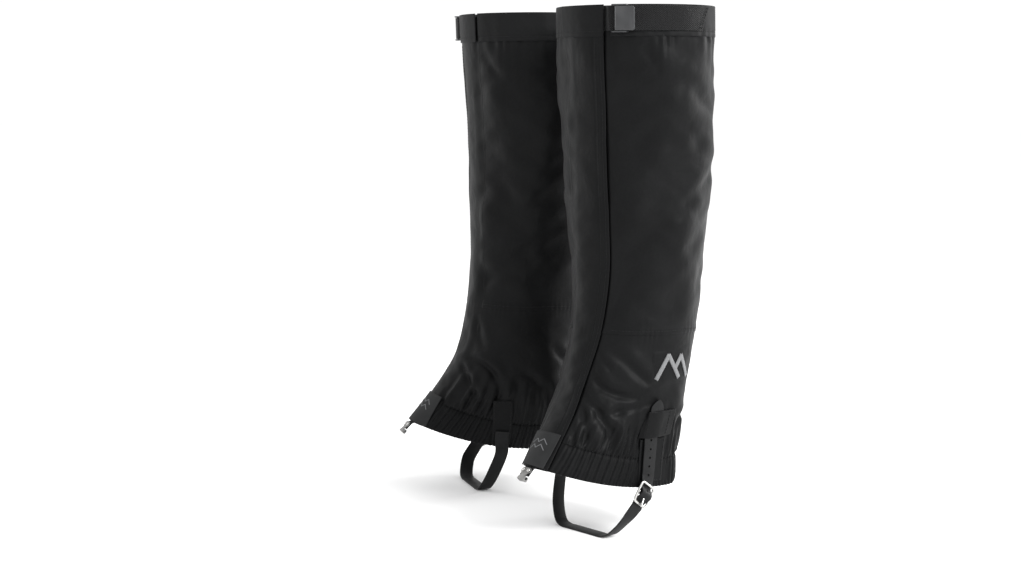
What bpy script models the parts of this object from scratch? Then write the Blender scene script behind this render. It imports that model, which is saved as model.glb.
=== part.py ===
"""A pair of knee-high trekking gaiters, standing as if worn, without the legs and shoes.

Each gaiter is modelled in its own leg frame: X is lateral (away from the other leg), -Y is
towards the toes and Z is up. The right one is the left one mirrored. An empty places each leg.
Lengths in the tables are in millimetres, and every function returns metres.
"""
import math

import bmesh
import bpy
from mathutils import Matrix, Vector

MM = 0.001

# Where the legs stand
LEG_APART = 0.100
LEG_BACK = 0.0352
TOE_OUT = math.radians(11.3)

# The sleeve's sections, one row a level: height at the front, side and back, then reach to the
# front, back, lateral and medial sides.
SECTIONS = (
    (72, 44, 54, 131, 30, 48, 48),      # 0 hem, lower edge
    (95, 70, 78, 111, 27, 50, 58),      # 1 hem, upper edge
    (120, 106, 108, 91, 36, 55, 66),    # 2 instep
    (149, 144, 144, 76, 46, 57, 60),    # 3 ankle
    (192, 190, 184, 66, 58, 59, 50),    # 4 seam between the two panels
    (244, 244, 244, 62, 68, 63, 57),    # 5
    (294, 294, 294, 62, 71, 68, 66),    # 6 calf
    (344, 344, 344, 62, 70, 73, 76),    # 7
    (394, 394, 394, 64, 67, 76, 82),    # 8
    (444, 444, 444, 68, 67, 78, 80),    # 9
    (491, 491, 491, 71, 67, 77, 77),    # 10 rim
)
# The front flap, at the same levels: distance from the centre line to its fold and free edge
FLAP_FOLD = (21, 24, 25, 24, 22, 23, 24, 25, 26, 27, 28)
FLAP_FREE = (16, 15, 14.5, 14.5, 21, 26, 26, 24.5, 24.5, 25.5, 28)
SEAM = 4.0
RIM = len(SECTIONS) - 1.0
BAND = 9.35
ROW_STEP = 0.5

FABRIC = 1.6 * MM
UNDERLAP_DIP = 2.2 * MM
UNDERLAP_RAMP = 5.0 * MM
SLIT = 6.0 * MM
GAP = 0.3 * MM
FLAP_LIFT = (0.3 * MM, 1.5 * MM)
FLAP_BAND_LIFT = (1.8 * MM, 2.8 * MM)
BAND_LIFT = (0.3 * MM, 1.3 * MM)
PATCH_LIFT = (0.4 * MM, 1.1 * MM)

# Cam buckle on the top strap
WEBBING_WIDTH = 22.0 * MM
WEBBING_HEIGHT = 478.5 * MM
WEBBING_THICK = 1.0 * MM
BUCKLE_ANGLE = math.radians(33.0)
WALL = 1.3 * MM
PIN_RADIUS = 0.9 * MM
PIN_ALONG = -2.0 * MM
PIN_LIFT = 7.2 * MM
HUB_RADIUS = 2.4 * MM

# Boot strap and its centre-bar buckle
STRAP_WIDTH = 14.0 * MM
STRAP_THICK = 1.4 * MM
STRAP_FRONT = 62.0 * MM
STRAP_SEWN_AHEAD = 47.0 * MM
TAB_WIDTH = 10.0 * MM
TAB_THICK = 1.0 * MM
FRAME_CENTRE = Vector((54.5, -37.5, 41.0)) * MM
FRAME_TILT = math.radians(35.0)
FRAME_HALF_HEIGHT = 10.0 * MM
FRAME_HALF_WIDTH = 8.75 * MM
FRAME_CORNER = 3.0 * MM
FRAME_WIRE = 1.25 * MM
BAR_RADIUS = 1.0 * MM
PRONG_RADIUS = 1.0 * MM

CLOTH = (0.030, 0.031, 0.034)
DARK_CLOTH = (0.022, 0.023, 0.025)
GREY_TPU = (0.115, 0.118, 0.122)
NICKEL = (0.78, 0.77, 0.75)


def material(name, colour, roughness, metallic=0.0):
    """Return the Principled material of this name, made on first use."""
    if name in bpy.data.materials:
        return bpy.data.materials[name]
    made = bpy.data.materials.new(name)
    made.use_nodes = True
    shader = made.node_tree.nodes["Principled BSDF"]
    shader.inputs["Base Color"].default_value = (*colour, 1.0)
    shader.inputs["Roughness"].default_value = roughness
    shader.inputs["Metallic"].default_value = metallic
    made.diffuse_color = (*colour, 1.0)
    return made


# ---------------------------------------------------------------- the sleeve's surface

def between(table, level):
    """Read a table of levels at any level, along a smooth curve through its rows."""
    last = len(table) - 1
    row = min(max(int(math.floor(level)), 0), last - 1)
    f = level - row
    before, here, there, after = (table[min(max(row + k, 0), last)] for k in (-1, 0, 1, 2))
    a = 2 * here
    b = (there - before) * f
    c = (2 * before - 5 * here + 4 * there - after) * f * f
    d = (3 * here - before - 3 * there + after) * f ** 3
    return 0.5 * (a + b + c + d) * MM


def section(level):
    """Return the seven measures of the sleeve's section at a level."""
    return [between([row[k] for row in SECTIONS], level) for k in range(7)]


def skin_point(angle, level):
    """Return a point of the sleeve's outer surface. Angle 0 is the front, +90 degrees lateral."""
    high_front, high_side, high_back, front, back, lateral, medial = section(level)
    c, s = math.cos(angle), math.sin(angle)
    ahead = (front if c > 0 else back) * c
    aside = (lateral if s > 0 else medial) * s
    height = high_side + ((high_front if c > 0 else high_back) - high_side) * c * c
    return Vector((aside, -ahead, height))


def skin_normal(angle, level):
    """Return the outward normal of the sleeve's surface."""
    step_angle, step_level = 0.02, 0.04
    low = max(level - step_level, 0.0)
    high = min(level + step_level, RIM)
    round_it = skin_point(angle + step_angle, level) - skin_point(angle - step_angle, level)
    up_it = skin_point(angle, high) - skin_point(angle, low)
    return round_it.cross(up_it).normalized()


def skin(angle, level, lift=0.0):
    """Return the surface point, moved out along its normal by lift."""
    return skin_point(angle, level) + skin_normal(angle, level) * lift


def angle_at(aside, level):
    """Return the angle at which the front of the section is this far from the centre line."""
    measures = section(level)
    reach = measures[5] if aside > 0 else measures[6]
    return math.asin(max(-1.0, min(1.0, aside / reach)))


def fold_at(level):
    return -between(FLAP_FOLD, level)


def free_at(level):
    return between(FLAP_FREE, level)


def on_side(ahead, height, lift=0.0, flank=1):
    """Return point and normal on a flank, at a distance ahead of the leg's axis and a height."""
    low, high = 0.0, RIM
    for _ in range(40):
        level = 0.5 * (low + high)
        measures = section(level)
        reach = measures[3] if ahead > 0 else measures[4]
        angle = flank * math.acos(max(-1.0, min(1.0, ahead / reach)))
        if skin_point(angle, level).z < height:
            low = level
        else:
            high = level
    normal = skin_normal(angle, level)
    return skin_point(angle, level) + normal * lift, normal


# ---------------------------------------------------------------- meshes

def levels(low, high):
    """Return the rows of a shell: its two ends and every half level between them."""
    rows = [low]
    step = math.floor(low / ROW_STEP + 1) * ROW_STEP
    while step < high - 0.1:
        if step > low + 0.1:
            rows.append(step)
        step += ROW_STEP
    return rows + [high]


def solid_from_grids(outer, inner):
    """Return a closed bmesh between two grids of points with the same shape."""
    mesh = bmesh.new()
    top = [[mesh.verts.new(p) for p in row] for row in outer]
    under = [[mesh.verts.new(p) for p in row] for row in inner]
    rows, columns = len(outer), len(outer[0])
    for i in range(rows - 1):
        for j in range(columns - 1):
            mesh.faces.new((top[i][j], top[i][j + 1], top[i + 1][j + 1], top[i + 1][j]))
            mesh.faces.new((under[i][j], under[i + 1][j], under[i + 1][j + 1], under[i][j + 1]))
        for j in (0, columns - 1):
            mesh.faces.new((top[i][j], top[i + 1][j], under[i + 1][j], under[i][j]))
    for j in range(columns - 1):
        for i in (0, rows - 1):
            mesh.faces.new((top[i][j], under[i][j], under[i][j + 1], top[i][j + 1]))
    return mesh


def shell(low, high, columns):
    """Return a layer of the sleeve. columns(level) lists (angle, inner lift, outer lift)."""
    rows = levels(low, high)
    outer = [[skin(a, row, out) for a, _, out in columns(row)] for row in rows]
    inner = [[skin(a, row, into) for a, into, _ in columns(row)] for row in rows]
    return solid_from_grids(outer, inner)


def ribbon(path, width, thick):
    """Return a flat strip along a path of (point, direction that its width lies along)."""
    count = len(path)
    outer, inner = [], []
    for i, (point, across) in enumerate(path):
        along = (path[min(i + 1, count - 1)][0] - path[max(i - 1, 0)][0]).normalized()
        across = (across - along * across.dot(along)).normalized()
        out = along.cross(across).normalized()
        ends = (point - across * width / 2, point + across * width / 2)
        outer.append([end + out * thick / 2 for end in ends])
        inner.append([end - out * thick / 2 for end in ends])
    return solid_from_grids(outer, inner)


def tube(path, radius, sides, closed=False):
    """Return a round wire along a path that lies in one plane."""
    count = len(path)
    plane = (path[1] - path[0]).cross(path[2] - path[1])
    if plane.length < 1e-12:
        plane = (path[1] - path[0]).orthogonal()
    plane.normalize()
    mesh = bmesh.new()
    rings = []
    for i, point in enumerate(path):
        if closed:
            along = path[(i + 1) % count] - path[i - 1]
        else:
            along = path[min(i + 1, count - 1)] - path[max(i - 1, 0)]
        side = along.normalized().cross(plane)
        turns = [2 * math.pi * k / sides for k in range(sides)]
        ring = [point + (side * math.cos(a) + plane * math.sin(a)) * radius for a in turns]
        rings.append([mesh.verts.new(p) for p in ring])
    for i in range(count if closed else count - 1):
        here, there = rings[i], rings[(i + 1) % count]
        for k in range(sides):
            mesh.faces.new((here[k], here[(k + 1) % sides], there[(k + 1) % sides], there[k]))
    if not closed:
        mesh.faces.new(rings[0])
        mesh.faces.new(rings[-1])
    return mesh


def prism(outline, thick, frame):
    """Return an outline in a frame's XY plane, extruded by half its thickness each way."""
    mesh = bmesh.new()
    low = [mesh.verts.new(frame @ Vector((x, y, -thick / 2))) for x, y in outline]
    high = [mesh.verts.new(frame @ Vector((x, y, thick / 2))) for x, y in outline]
    mesh.faces.new(low)
    mesh.faces.new(high)
    for i in range(len(outline)):
        j = (i + 1) % len(outline)
        mesh.faces.new((low[i], low[j], high[j], high[i]))
    return mesh


def axes(origin, x, y, z):
    """Return the matrix of a frame with these axes."""
    made = Matrix((x, y, z)).transposed().to_4x4()
    made.translation = origin
    return made


def sideways(frame):
    """Return the frame turned so that a prism's outline is in its YZ plane and runs along X."""
    return frame @ Matrix(((0, 0, 1, 0), (1, 0, 0, 0), (0, 1, 0, 0), (0, 0, 0, 1)))


def arc(centre, radius, start, end, steps):
    """Return points of an arc, in degrees, with both ends."""
    turns = [math.radians(start + (end - start) * k / steps) for k in range(steps + 1)]
    return [(centre[0] + radius * math.cos(a), centre[1] + radius * math.sin(a)) for a in turns]


class Leg:
    """One gaiter: an empty that places it, and the mirroring of its pieces."""

    def __init__(self, name, hand):
        self.name = name
        self.hand = hand
        self.empty = bpy.data.objects.new("leg_" + name, None)
        self.empty.location = (hand * LEG_APART, LEG_BACK, 0)
        self.empty.rotation_euler = (0, 0, hand * TOE_OUT)
        bpy.context.scene.collection.objects.link(self.empty)

    def add(self, piece, mesh, finish, origin=Vector((0, 0, 0)), cutter=False):
        """Add a piece's mesh to this leg as an object with its origin on its joint's axis.

        It is triangulated first, so that every face is flat."""
        for vert in mesh.verts:
            vert.co = vert.co - origin
            vert.co.x *= self.hand
        bmesh.ops.recalc_face_normals(mesh, faces=mesh.faces)
        bmesh.ops.triangulate(mesh, faces=mesh.faces)
        data = bpy.data.meshes.new(f"{piece}_{self.name}")
        mesh.to_mesh(data)
        mesh.free()
        data.materials.append(finish)
        data.shade_smooth()
        data.set_sharp_from_angle(angle=math.radians(35))
        made = bpy.data.objects.new(f"{piece}_{self.name}", data)
        bpy.context.scene.collection.objects.link(made)
        made.parent = self.empty
        made.location = (origin.x * self.hand, origin.y, origin.z)
        if cutter:
            made.hide_render = True
            made.display_type = "WIRE"
        return made


def combine(target, tool, operation):
    """Cut or join with the EXACT solver."""
    modifier = target.modifiers.new(operation.lower(), "BOOLEAN")
    modifier.object = tool
    modifier.operation = operation
    modifier.solver = "EXACT"


def cloth():
    return material("black_nylon", CLOTH, 0.62)


def dark_cloth():
    return material("hem_nylon", DARK_CLOTH, 0.75)


def tape():
    return material("hook_loop_tape", DARK_CLOTH, 0.9)


def webbing():
    return material("black_webbing", DARK_CLOTH, 0.8)


def strap_grey():
    return material("coated_strap", GREY_TPU, 0.55)


def acetal():
    return material("buckle_acetal", (0.05, 0.052, 0.056), 0.28)


def nickel():
    return material("bright_nickel", NICKEL, 0.22, 1.0)


def satin_nickel():
    return material("satin_nickel", (0.6, 0.6, 0.59), 0.38, 1.0)


# ---------------------------------------------------------------- sleeve, band and flap

def panel_columns(level):
    """Columns of a sleeve panel: the sunk underlap behind the flap, then all the way round."""
    slit = angle_at(fold_at(level) + SLIT, level)
    near = angle_at(free_at(level) + 0.5 * MM, level)
    past = angle_at(free_at(level) + UNDERLAP_RAMP, level)
    end = angle_at(fold_at(level), level) + 2 * math.pi
    sunk, round_it = 4, 34
    columns = []
    for k in range(sunk):
        columns.append((slit + (near - slit) * k / (sunk - 1), -UNDERLAP_DIP))
    for k in range(round_it + 1):
        columns.append((past + (end - past) * k / round_it, 0.0))
    return [(angle, lift - FABRIC, lift) for angle, lift in columns]


def flap_columns(lifts, inset=0.0):
    """Columns of a layer that covers the front flap, from its fold to its free edge."""
    def columns(level):
        start = angle_at(fold_at(level) + 1.0 * MM + inset, level)
        end = angle_at(free_at(level) - inset, level)
        count = 7
        return [(start + (end - start) * k / (count - 1), *lifts) for k in range(count)]
    return columns


def tape_columns(lifts):
    """Columns of a closure tape, along the flap's free edge."""
    def columns(level):
        edge = free_at(level) - 3.0 * MM
        start = angle_at(edge - 18.0 * MM, level)
        end = angle_at(edge, level)
        return [(start + (end - start) * k / 3, *lifts) for k in range(4)]
    return columns


def band_columns(level):
    """Columns of the top band, from behind the flap's edge round to the flap's fold."""
    start = angle_at(free_at(level) + 6.0 * MM, level)
    end = angle_at(fold_at(level) - 0.5 * MM, level) + 2 * math.pi
    return [(start + (end - start) * k / 34, *BAND_LIFT) for k in range(35)]


def flap_axis():
    """Return the flap's hinge line: a point at the seam and the direction up to the rim."""
    ends = []
    for level in (SEAM, RIM):
        ends.append(skin(angle_at(fold_at(level), level), level, FLAP_LIFT[1]))
    return ends[0], (ends[1] - ends[0]).normalized()


def add_sleeve(leg):
    step = 0.01
    leg.add("ankle_hem", shell(0.0, 1.0 - step, panel_columns), dark_cloth())
    leg.add("lower_panel", shell(1.0, SEAM - step, panel_columns), cloth())
    leg.add("upper_panel", shell(SEAM, RIM - 0.1, panel_columns), cloth())
    leg.add("top_band", shell(BAND, RIM, band_columns), cloth())
    leg.add("front_loop_tape", shell(4.3, 9.2, tape_columns((-1.9 * MM, -1.2 * MM))), tape())


def add_flap(leg):
    axis = flap_axis()[0]
    step = 0.01
    leg.add("shin_flap", shell(SEAM, RIM - 0.1, flap_columns(FLAP_LIFT)), cloth(), axis)
    band = shell(BAND, RIM, flap_columns(FLAP_BAND_LIFT, 0.3 * MM))
    leg.add("flap_band", band, cloth(), axis)
    hooks = shell(4.3, 9.2, tape_columns((-0.8 * MM, -0.1 * MM)))
    leg.add("flap_hook_tape", hooks, tape(), axis)
    leg.add("instep_flap", shell(0.0, SEAM - step, flap_columns(FLAP_LIFT)), cloth())


# ---------------------------------------------------------------- top strap and cam buckle

def webbing_columns(level):
    """Columns of the top strap: under the flap, up through the buckle and back on the band."""
    start = angle_at(-16.0 * MM, level)
    emerge = angle_at(free_at(level) + 0.5 * MM, level)
    on_band, in_buckle = 2.4 * MM, 3.9 * MM
    low = -1.15 * MM
    columns = [(start + (emerge - start) * k / 4, low) for k in range(5)]
    columns += [(BUCKLE_ANGLE + math.radians(a), in_buckle) for a in (-8.2, -4, 0, 4, 8.2)]
    tail = BUCKLE_ANGLE + math.radians(13)
    slant = math.radians(10) * (RIM - level) / (RIM - 9.5)
    end = math.radians(106) - slant
    columns += [(tail + (end - tail) * k / 13, on_band) for k in range(14)]
    return [(angle, lift - WEBBING_THICK / 2, lift + WEBBING_THICK / 2)
            for angle, lift in columns]


def level_of(height):
    """Return the level of a height above the calf, where the levels are flat."""
    low, high = 5.0, RIM
    for _ in range(40):
        level = 0.5 * (low + high)
        if section(level)[0] < height:
            low = level
        else:
            high = level
    return level


def cam_frame():
    """Frame of the cam buckle: X round the leg, Y outwards, Z along its pin."""
    level = level_of(WEBBING_HEIGHT)
    out = skin_normal(BUCKLE_ANGLE, level)
    along = Vector((0, 0, 1)).cross(out).normalized()
    return axes(skin_point(BUCKLE_ANGLE, level), along, out, along.cross(out))


def add_top_strap(leg):
    low = level_of(WEBBING_HEIGHT - WEBBING_WIDTH / 2)
    high = level_of(WEBBING_HEIGHT + WEBBING_WIDTH / 2)
    leg.add("cinch_webbing", shell(low, high, webbing_columns), webbing())


def cam_channel(frame):
    """A U channel: a floor under the webbing and two side walls."""
    inside = WEBBING_WIDTH / 2 + GAP
    outside = inside + WALL
    floor, top = (1.9 * MM, 2.8 * MM), 9.2 * MM
    outline = [(floor[0], -outside), (top, -outside), (top, -inside), (floor[1], -inside),
               (floor[1], inside), (top, inside), (top, outside), (floor[0], outside)]
    return prism(outline, 14.0 * MM, sideways(frame))


def cam_lever(frame):
    """The lever: a hub round the pin, a cam below it and a finger plate with a round end."""
    hub = (PIN_ALONG, PIN_LIFT)
    under, over, reach = 6.2 * MM, 9.4 * MM, 14.5 * MM
    nose = (over - under) / 2
    outline = arc(hub, HUB_RADIUS, 115, 300, 9)
    outline += arc((reach - nose, under + nose), nose, -90, 90, 5)
    mesh = prism(outline, WEBBING_WIDTH - 0.4 * MM, frame)
    tip = (frame @ Vector((reach - nose, under, 0)) - frame.translation).dot(frame.col[0].xyz)
    corners = []
    for edge in mesh.edges:
        middle = (edge.verts[0].co + edge.verts[1].co) / 2 - frame.translation
        flat = abs((edge.verts[0].co - edge.verts[1].co).dot(frame.col[2].xyz)) < 1e-6
        if flat and middle.dot(frame.col[0].xyz) > tip + 0.1 * MM:
            corners.append(edge)
    bmesh.ops.bevel(mesh, geom=corners, offset=1.2 * MM, segments=2, affect="EDGES")
    return mesh


def pin(frame, radius, length, sides):
    return prism(arc((PIN_ALONG, PIN_LIFT), radius, 0, 360 - 360 / sides, sides - 1), length, frame)


def add_cam_buckle(leg):
    frame = cam_frame()
    axis = frame @ Vector((PIN_ALONG, PIN_LIFT, 0))
    across = WEBBING_WIDTH + 2 * (GAP + WALL)
    base = leg.add("cam_buckle_base", cam_channel(frame), acetal())
    lever = leg.add("cam_lever", cam_lever(frame), acetal(), axis)
    leg.add("cam_pin", pin(frame, PIN_RADIUS, across - 0.2 * MM, 12), satin_nickel())
    bore = pin(frame, PIN_RADIUS + 0.25 * MM, across + 4 * MM, 16)
    cutter = leg.add("pin_bore", bore, satin_nickel(), cutter=True)
    combine(base, cutter, "DIFFERENCE")
    combine(lever, cutter, "DIFFERENCE")


# ---------------------------------------------------------------- label and lace hook

def add_label(leg):
    def columns(level):
        start = angle_at(-19.5 * MM, level)
        end = angle_at(13.0 * MM, level)
        return [(start + (end - start) * k / 5, 2.1 * MM, 2.9 * MM) for k in range(6)]
    leg.add("flap_label", shell(0.02, 1.2, columns), material("grey_rubber", GREY_TPU, 0.6))


def hook_frame():
    """Frame of the lace hook: X medial, Y forwards and down along it, Z outwards."""
    ahead = Vector((0, -0.72, -0.694)).normalized()
    side = Vector((-1, 0, 0))
    tip = skin(0.0, 0.0, -1.0 * MM)
    return axes(tip, side, ahead, side.cross(ahead))


def add_lace_hook(leg):
    frame = hook_frame()
    tab_thick, plate = 1.0 * MM, 1.0 * MM
    leg.add("lace_hook_tab", hook_tab_mesh(frame, tab_thick), webbing())
    lift = tab_thick / 2 + GAP + plate / 2
    profile = [(2, lift / MM + 0.5), (2, lift / MM - 0.5), (14.2, lift / MM - 0.5),
               (14.2, -1.6), (10.6, -1.6), (10.6, -2.6), (15.2, -2.6), (15.2, lift / MM + 0.5)]
    outline = [(a * MM, b * MM) for a, b in profile]
    hook = leg.add("lace_hook", prism(outline, 14 * MM, sideways(frame)), satin_nickel())
    lobe, waist, foot = 3.0 * MM, 2.9 * MM, 4.6 * MM
    half = arc((3.4 * MM, 5.0 * MM), lobe, -100, 45, 7)
    half += [(waist, 10.0 * MM), (foot, 12.6 * MM), (foot, 16.5 * MM)]
    outline = half + [(-x, y) for x, y in reversed(half)]
    shape = leg.add("hook_shape", prism(outline, 12 * MM, frame), satin_nickel(), cutter=True)
    combine(hook, shape, "INTERSECT")
    top = lift + plate / 2 + GAP
    for tag, side in (("inner", -1), ("outer", 1)):
        centre = frame @ Vector((side * 3.4 * MM, 5.0 * MM, top))
        leg.add(f"hook_rivet_{tag}", dome(centre, frame, 1.8 * MM, 0.8 * MM), nickel())


def hook_tab_mesh(frame, thick):
    """The hook's tab: curved with the sleeve where the flap covers it, then flat."""
    spots = [x * MM for x in (-6, -3, 0, 3, 6)]
    grids = []
    for side in (1, -1):
        lift = side * thick / 2
        rows = [[skin(angle_at(x, level), level, lift - 1.0 * MM) for x in spots]
                for level in (0.6, 0.3, 0.0)]
        rows += [[frame @ Vector((-x, y * MM, lift)) for x in spots] for y in (2, 10)]
        grids.append(rows)
    return solid_from_grids(*grids)


def dome(centre, frame, radius, height):
    """A rivet head: a disc with a chamfered, slightly raised face."""
    turn = frame.to_3x3()
    mesh = bmesh.new()
    rings = []
    for scale, rise in ((1.0, 0.0), (1.0, 0.5), (0.6, 1.0)):
        ring = arc((0, 0), radius * scale, 0, 330, 11)
        rings.append([mesh.verts.new(centre + turn @ Vector((x, y, rise * height)))
                      for x, y in ring])
    for low, high in zip(rings, rings[1:]):
        for k in range(12):
            mesh.faces.new((low[k], low[(k + 1) % 12], high[(k + 1) % 12], high[k]))
    mesh.faces.new(rings[0])
    mesh.faces.new(rings[-1])
    return mesh


# ---------------------------------------------------------------- patches on the flanks

def flank_patch(edges, heights, flank=1, columns=5):
    """A patch on a flank. Its front and back edges are distances ahead, all in millimetres."""
    outer, inner = [], []
    front, back = edges
    spots = [(front + (back - front) * k / (columns - 1)) * MM for k in range(columns)]
    for height in heights:
        outer.append([on_side(a, height * MM, PATCH_LIFT[1], flank)[0] for a in spots])
        inner.append([on_side(a, height * MM, PATCH_LIFT[0], flank)[0] for a in spots])
    return solid_from_grids(outer, inner)


def add_patches(leg):
    backing = flank_patch((38, 10), (50, 60, 70, 82, 92))
    leg.add("strap_backing_patch", backing, cloth())
    leg.add("strap_keeper", keeper_mesh(), cloth())
    anchor = flank_patch((57, 38), (51, 62, 74, 86, 98), flank=-1, columns=4)
    leg.add("strap_anchor_patch", anchor, cloth())
    mark = flank_patch((25, -17), (147, 155, 163, 171), columns=7)
    leg.add("embroidered_mark", mark, material("grey_thread", (0.30, 0.30, 0.31), 0.6))


def keeper_mesh():
    """The patch that bridges the strap's tail: sewn down at its edges, raised over the strap."""
    outer, inner = [], []
    for height, front in ((94, 40), (102, 38.5), (110, 34.5), (118, 31)):
        middle = tail_ahead(height * MM) / MM
        spots = [(front, 0.4), (middle + 8.4, 4.7), (middle + 3, 4.9), (middle - 3, 4.9),
                 (middle - 8.4, 4.7), (middle - 14, 0.4)]
        outer.append([on_side(a * MM, height * MM, (b + 0.8) * MM)[0] for a, b in spots])
        inner.append([on_side(a * MM, height * MM, b * MM)[0] for a, b in spots])
    return solid_from_grids(outer, inner)


# ---------------------------------------------------------------- boot strap and its buckle

def tail_ahead(height):
    """How far ahead of the leg's axis the strap's tail runs at a height."""
    table = ((52, 30), (60, 28.5), (94, 28), (130, 20))
    for (low, a), (high, b) in zip(table, table[1:]):
        if height <= high * MM:
            return (a + (b - a) * max(height / MM - low, 0) / (high - low)) * MM
    return table[-1][1] * MM


def buckle_frame():
    """Frame of the strap buckle: X along its bars, Y up along the strap, Z outwards."""
    up = Vector((0, math.sin(FRAME_TILT), math.cos(FRAME_TILT)))
    out = Vector((1, 0, 0))
    return axes(FRAME_CENTRE, up.cross(out), up, out)


def weave(along):
    """The strap's offset from the buckle's plane: behind both end bars, over the centre bar."""
    behind, over = -2.4 * MM, 3.45 * MM
    if abs(along) > 9 * MM:
        return behind
    return behind + (over - behind) * math.cos(math.pi * along / (18 * MM)) ** 2


def on_flank(height, lift, flank=1):
    """Return a point of a path up a flank, and the level direction along the flank there."""
    ahead = tail_ahead(height) if flank > 0 else STRAP_SEWN_AHEAD
    point, normal = on_side(ahead, height, lift, flank)
    return point, Vector((normal.y, -normal.x, 0)) * flank


def halfway(here, there):
    """Return the path point midway between two, with the direction across midway as well."""
    return (here[0] + there[0]) / 2, (here[1] + there[1]).normalized()


def strap_path():
    """The boot strap's centre line, from the medial anchor, under the boot and up to its tip."""
    ahead = Vector((0, -1, 0))
    frame = buckle_frame()
    bars = -frame.col[0].xyz
    path = [on_flank(h * MM, 2.4 * MM, -1) for h in (66, 56)]
    lower = ((-50.5, 48, 42), (-46.5, 54, 24), (-41, 58, 12), (-34, 61, 3.6), (-26, 62, 0.78))
    path += [(Vector((x, -y, z)) * MM, ahead) for x, y, z in lower]
    flat = [Vector((x * MM, -STRAP_FRONT, STRAP_THICK / 2)) for x in (-18, 0, 18)]
    path += [(point, ahead) for point in flat]
    rise = ((26, 62, 0.78), (35, 61, 3.6), (43, 58, 11), (48.5, 54, 19))
    path += [(Vector((x, -y, z)) * MM, ahead) for x, y, z in rise]
    for s in (-14, -11, -9, -7, -5, -3, -1, 1, 3, 5, 7, 9, 11):
        path.append((frame @ Vector((0, s * MM, weave(s * MM))), bars))
    path.append(halfway(path[-1], on_flank(58 * MM, 3.6 * MM)))
    for height in (58, 62, 66, 76, 86, 94, 102, 110, 118, 124, 129):
        path.append(on_flank(height * MM, 3.6 * MM))
    return path


def tab_path():
    """The tab that holds the buckle: down behind the strap and round the centre bar."""
    frame = buckle_frame()
    bars = -frame.col[0].xyz
    path = [on_flank(h * MM, 1.85 * MM) for h in (92, 80, 70, 62)]
    path.append(halfway(path[-1], (frame @ Vector((0, 13 * MM, -4.9 * MM)), bars)))
    for s, n in ((13, -4.9), (8, -3.9), (4, -3.1)):
        path.append((frame @ Vector((0, s * MM, n * MM)), bars))
    loop = BAR_RADIUS + 0.35 * MM + TAB_THICK / 2
    for s, n in arc((0, 0), loop, 270, 90, 8):
        path.append((frame @ Vector((0, s, n)), bars))
    path.append((frame @ Vector((0, 0.4 * MM, loop)), bars))
    return path


def rounded_loop(half_width, half_height, corner, steps):
    """Points round a rectangle with round corners."""
    points = []
    for x, y, start in ((1, 1, 0), (-1, 1, 90), (-1, -1, 180), (1, -1, 270)):
        centre = (x * (half_width - corner), y * (half_height - corner))
        points += arc(centre, corner, start, start + 90, steps)
    return points


def add_strap(leg):
    frame = buckle_frame()
    strap = leg.add("instep_strap", ribbon(strap_path(), STRAP_WIDTH, STRAP_THICK), strap_grey())
    tab = leg.add("buckle_tab", ribbon(tab_path(), TAB_WIDTH, TAB_THICK), webbing())
    slot = rounded_loop(1.9 * MM, 4.6 * MM, 1.8 * MM, 3)
    through = prism([(x, y - 3.0 * MM) for x, y in slot], 16 * MM, frame)
    combine(strap, leg.add("prong_hole", through, nickel(), cutter=True), "DIFFERENCE")
    gap = prism(rounded_loop(1.7 * MM, 3.6 * MM, 0.5 * MM, 1), 7.0 * MM, frame)
    combine(tab, leg.add("tab_slot", gap, nickel(), cutter=True), "DIFFERENCE")


def add_buckle(leg):
    frame = buckle_frame()
    loop = rounded_loop(FRAME_HALF_WIDTH, FRAME_HALF_HEIGHT, FRAME_CORNER, 3)
    wire = tube([frame @ Vector((x, y, 0)) for x, y in loop], FRAME_WIRE, 10, closed=True)
    ring = leg.add("strap_buckle_frame", wire, nickel())
    bar_path = [frame @ Vector((x * FRAME_HALF_WIDTH, 0, 0)) for x in (-1, 0, 1)]
    bar = leg.add("centre_bar", tube(bar_path, BAR_RADIUS, 12), nickel(), cutter=True)
    combine(ring, bar, "UNION")
    eye = prism(arc((0, 0), 2.2 * MM, 0, 330, 11), 2.2 * MM, sideways(frame))
    prong = leg.add("strap_buckle_prong", eye, nickel(), FRAME_CENTRE)
    rest = FRAME_WIRE + GAP + PRONG_RADIUS
    rod_path = [(-1.5, 0.6), (-6.0, 1.7), (-FRAME_HALF_HEIGHT / MM - 2.2, rest / MM)]
    rod = tube([frame @ Vector((0, s * MM, n * MM)) for s, n in rod_path], PRONG_RADIUS, 8)
    combine(prong, leg.add("prong_rod", rod, nickel(), cutter=True), "UNION")
    bore = prism(arc((0, 0), BAR_RADIUS + 0.25 * MM, 0, 345, 23), 6 * MM, sideways(frame))
    combine(prong, leg.add("prong_bore", bore, nickel(), cutter=True), "DIFFERENCE")


def clear_scene():
    for item in list(bpy.data.objects):
        bpy.data.objects.remove(item, do_unlink=True)


def main():
    clear_scene()
    for name, hand in (("left", 1), ("right", -1)):
        leg = Leg(name, hand)
        for add in (add_sleeve, add_flap, add_top_strap, add_cam_buckle, add_label,
                    add_lace_hook, add_patches, add_strap, add_buckle):
            add(leg)


main()
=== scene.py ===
"""The looks of a pair of knee-high trekking gaiters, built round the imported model.

Every piece is made for a leg in that leg's own frame (X lateral, -Y towards the toes, Z up) and
then placed; the right leg is the mirror of the left, with its own drape. Tables are in millimetres
and repeat the part's own sections, so that the cloth lies on the solids that it stands for.
"""

import math

import bpy
import numpy as np
from mathutils import Matrix, Vector


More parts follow.
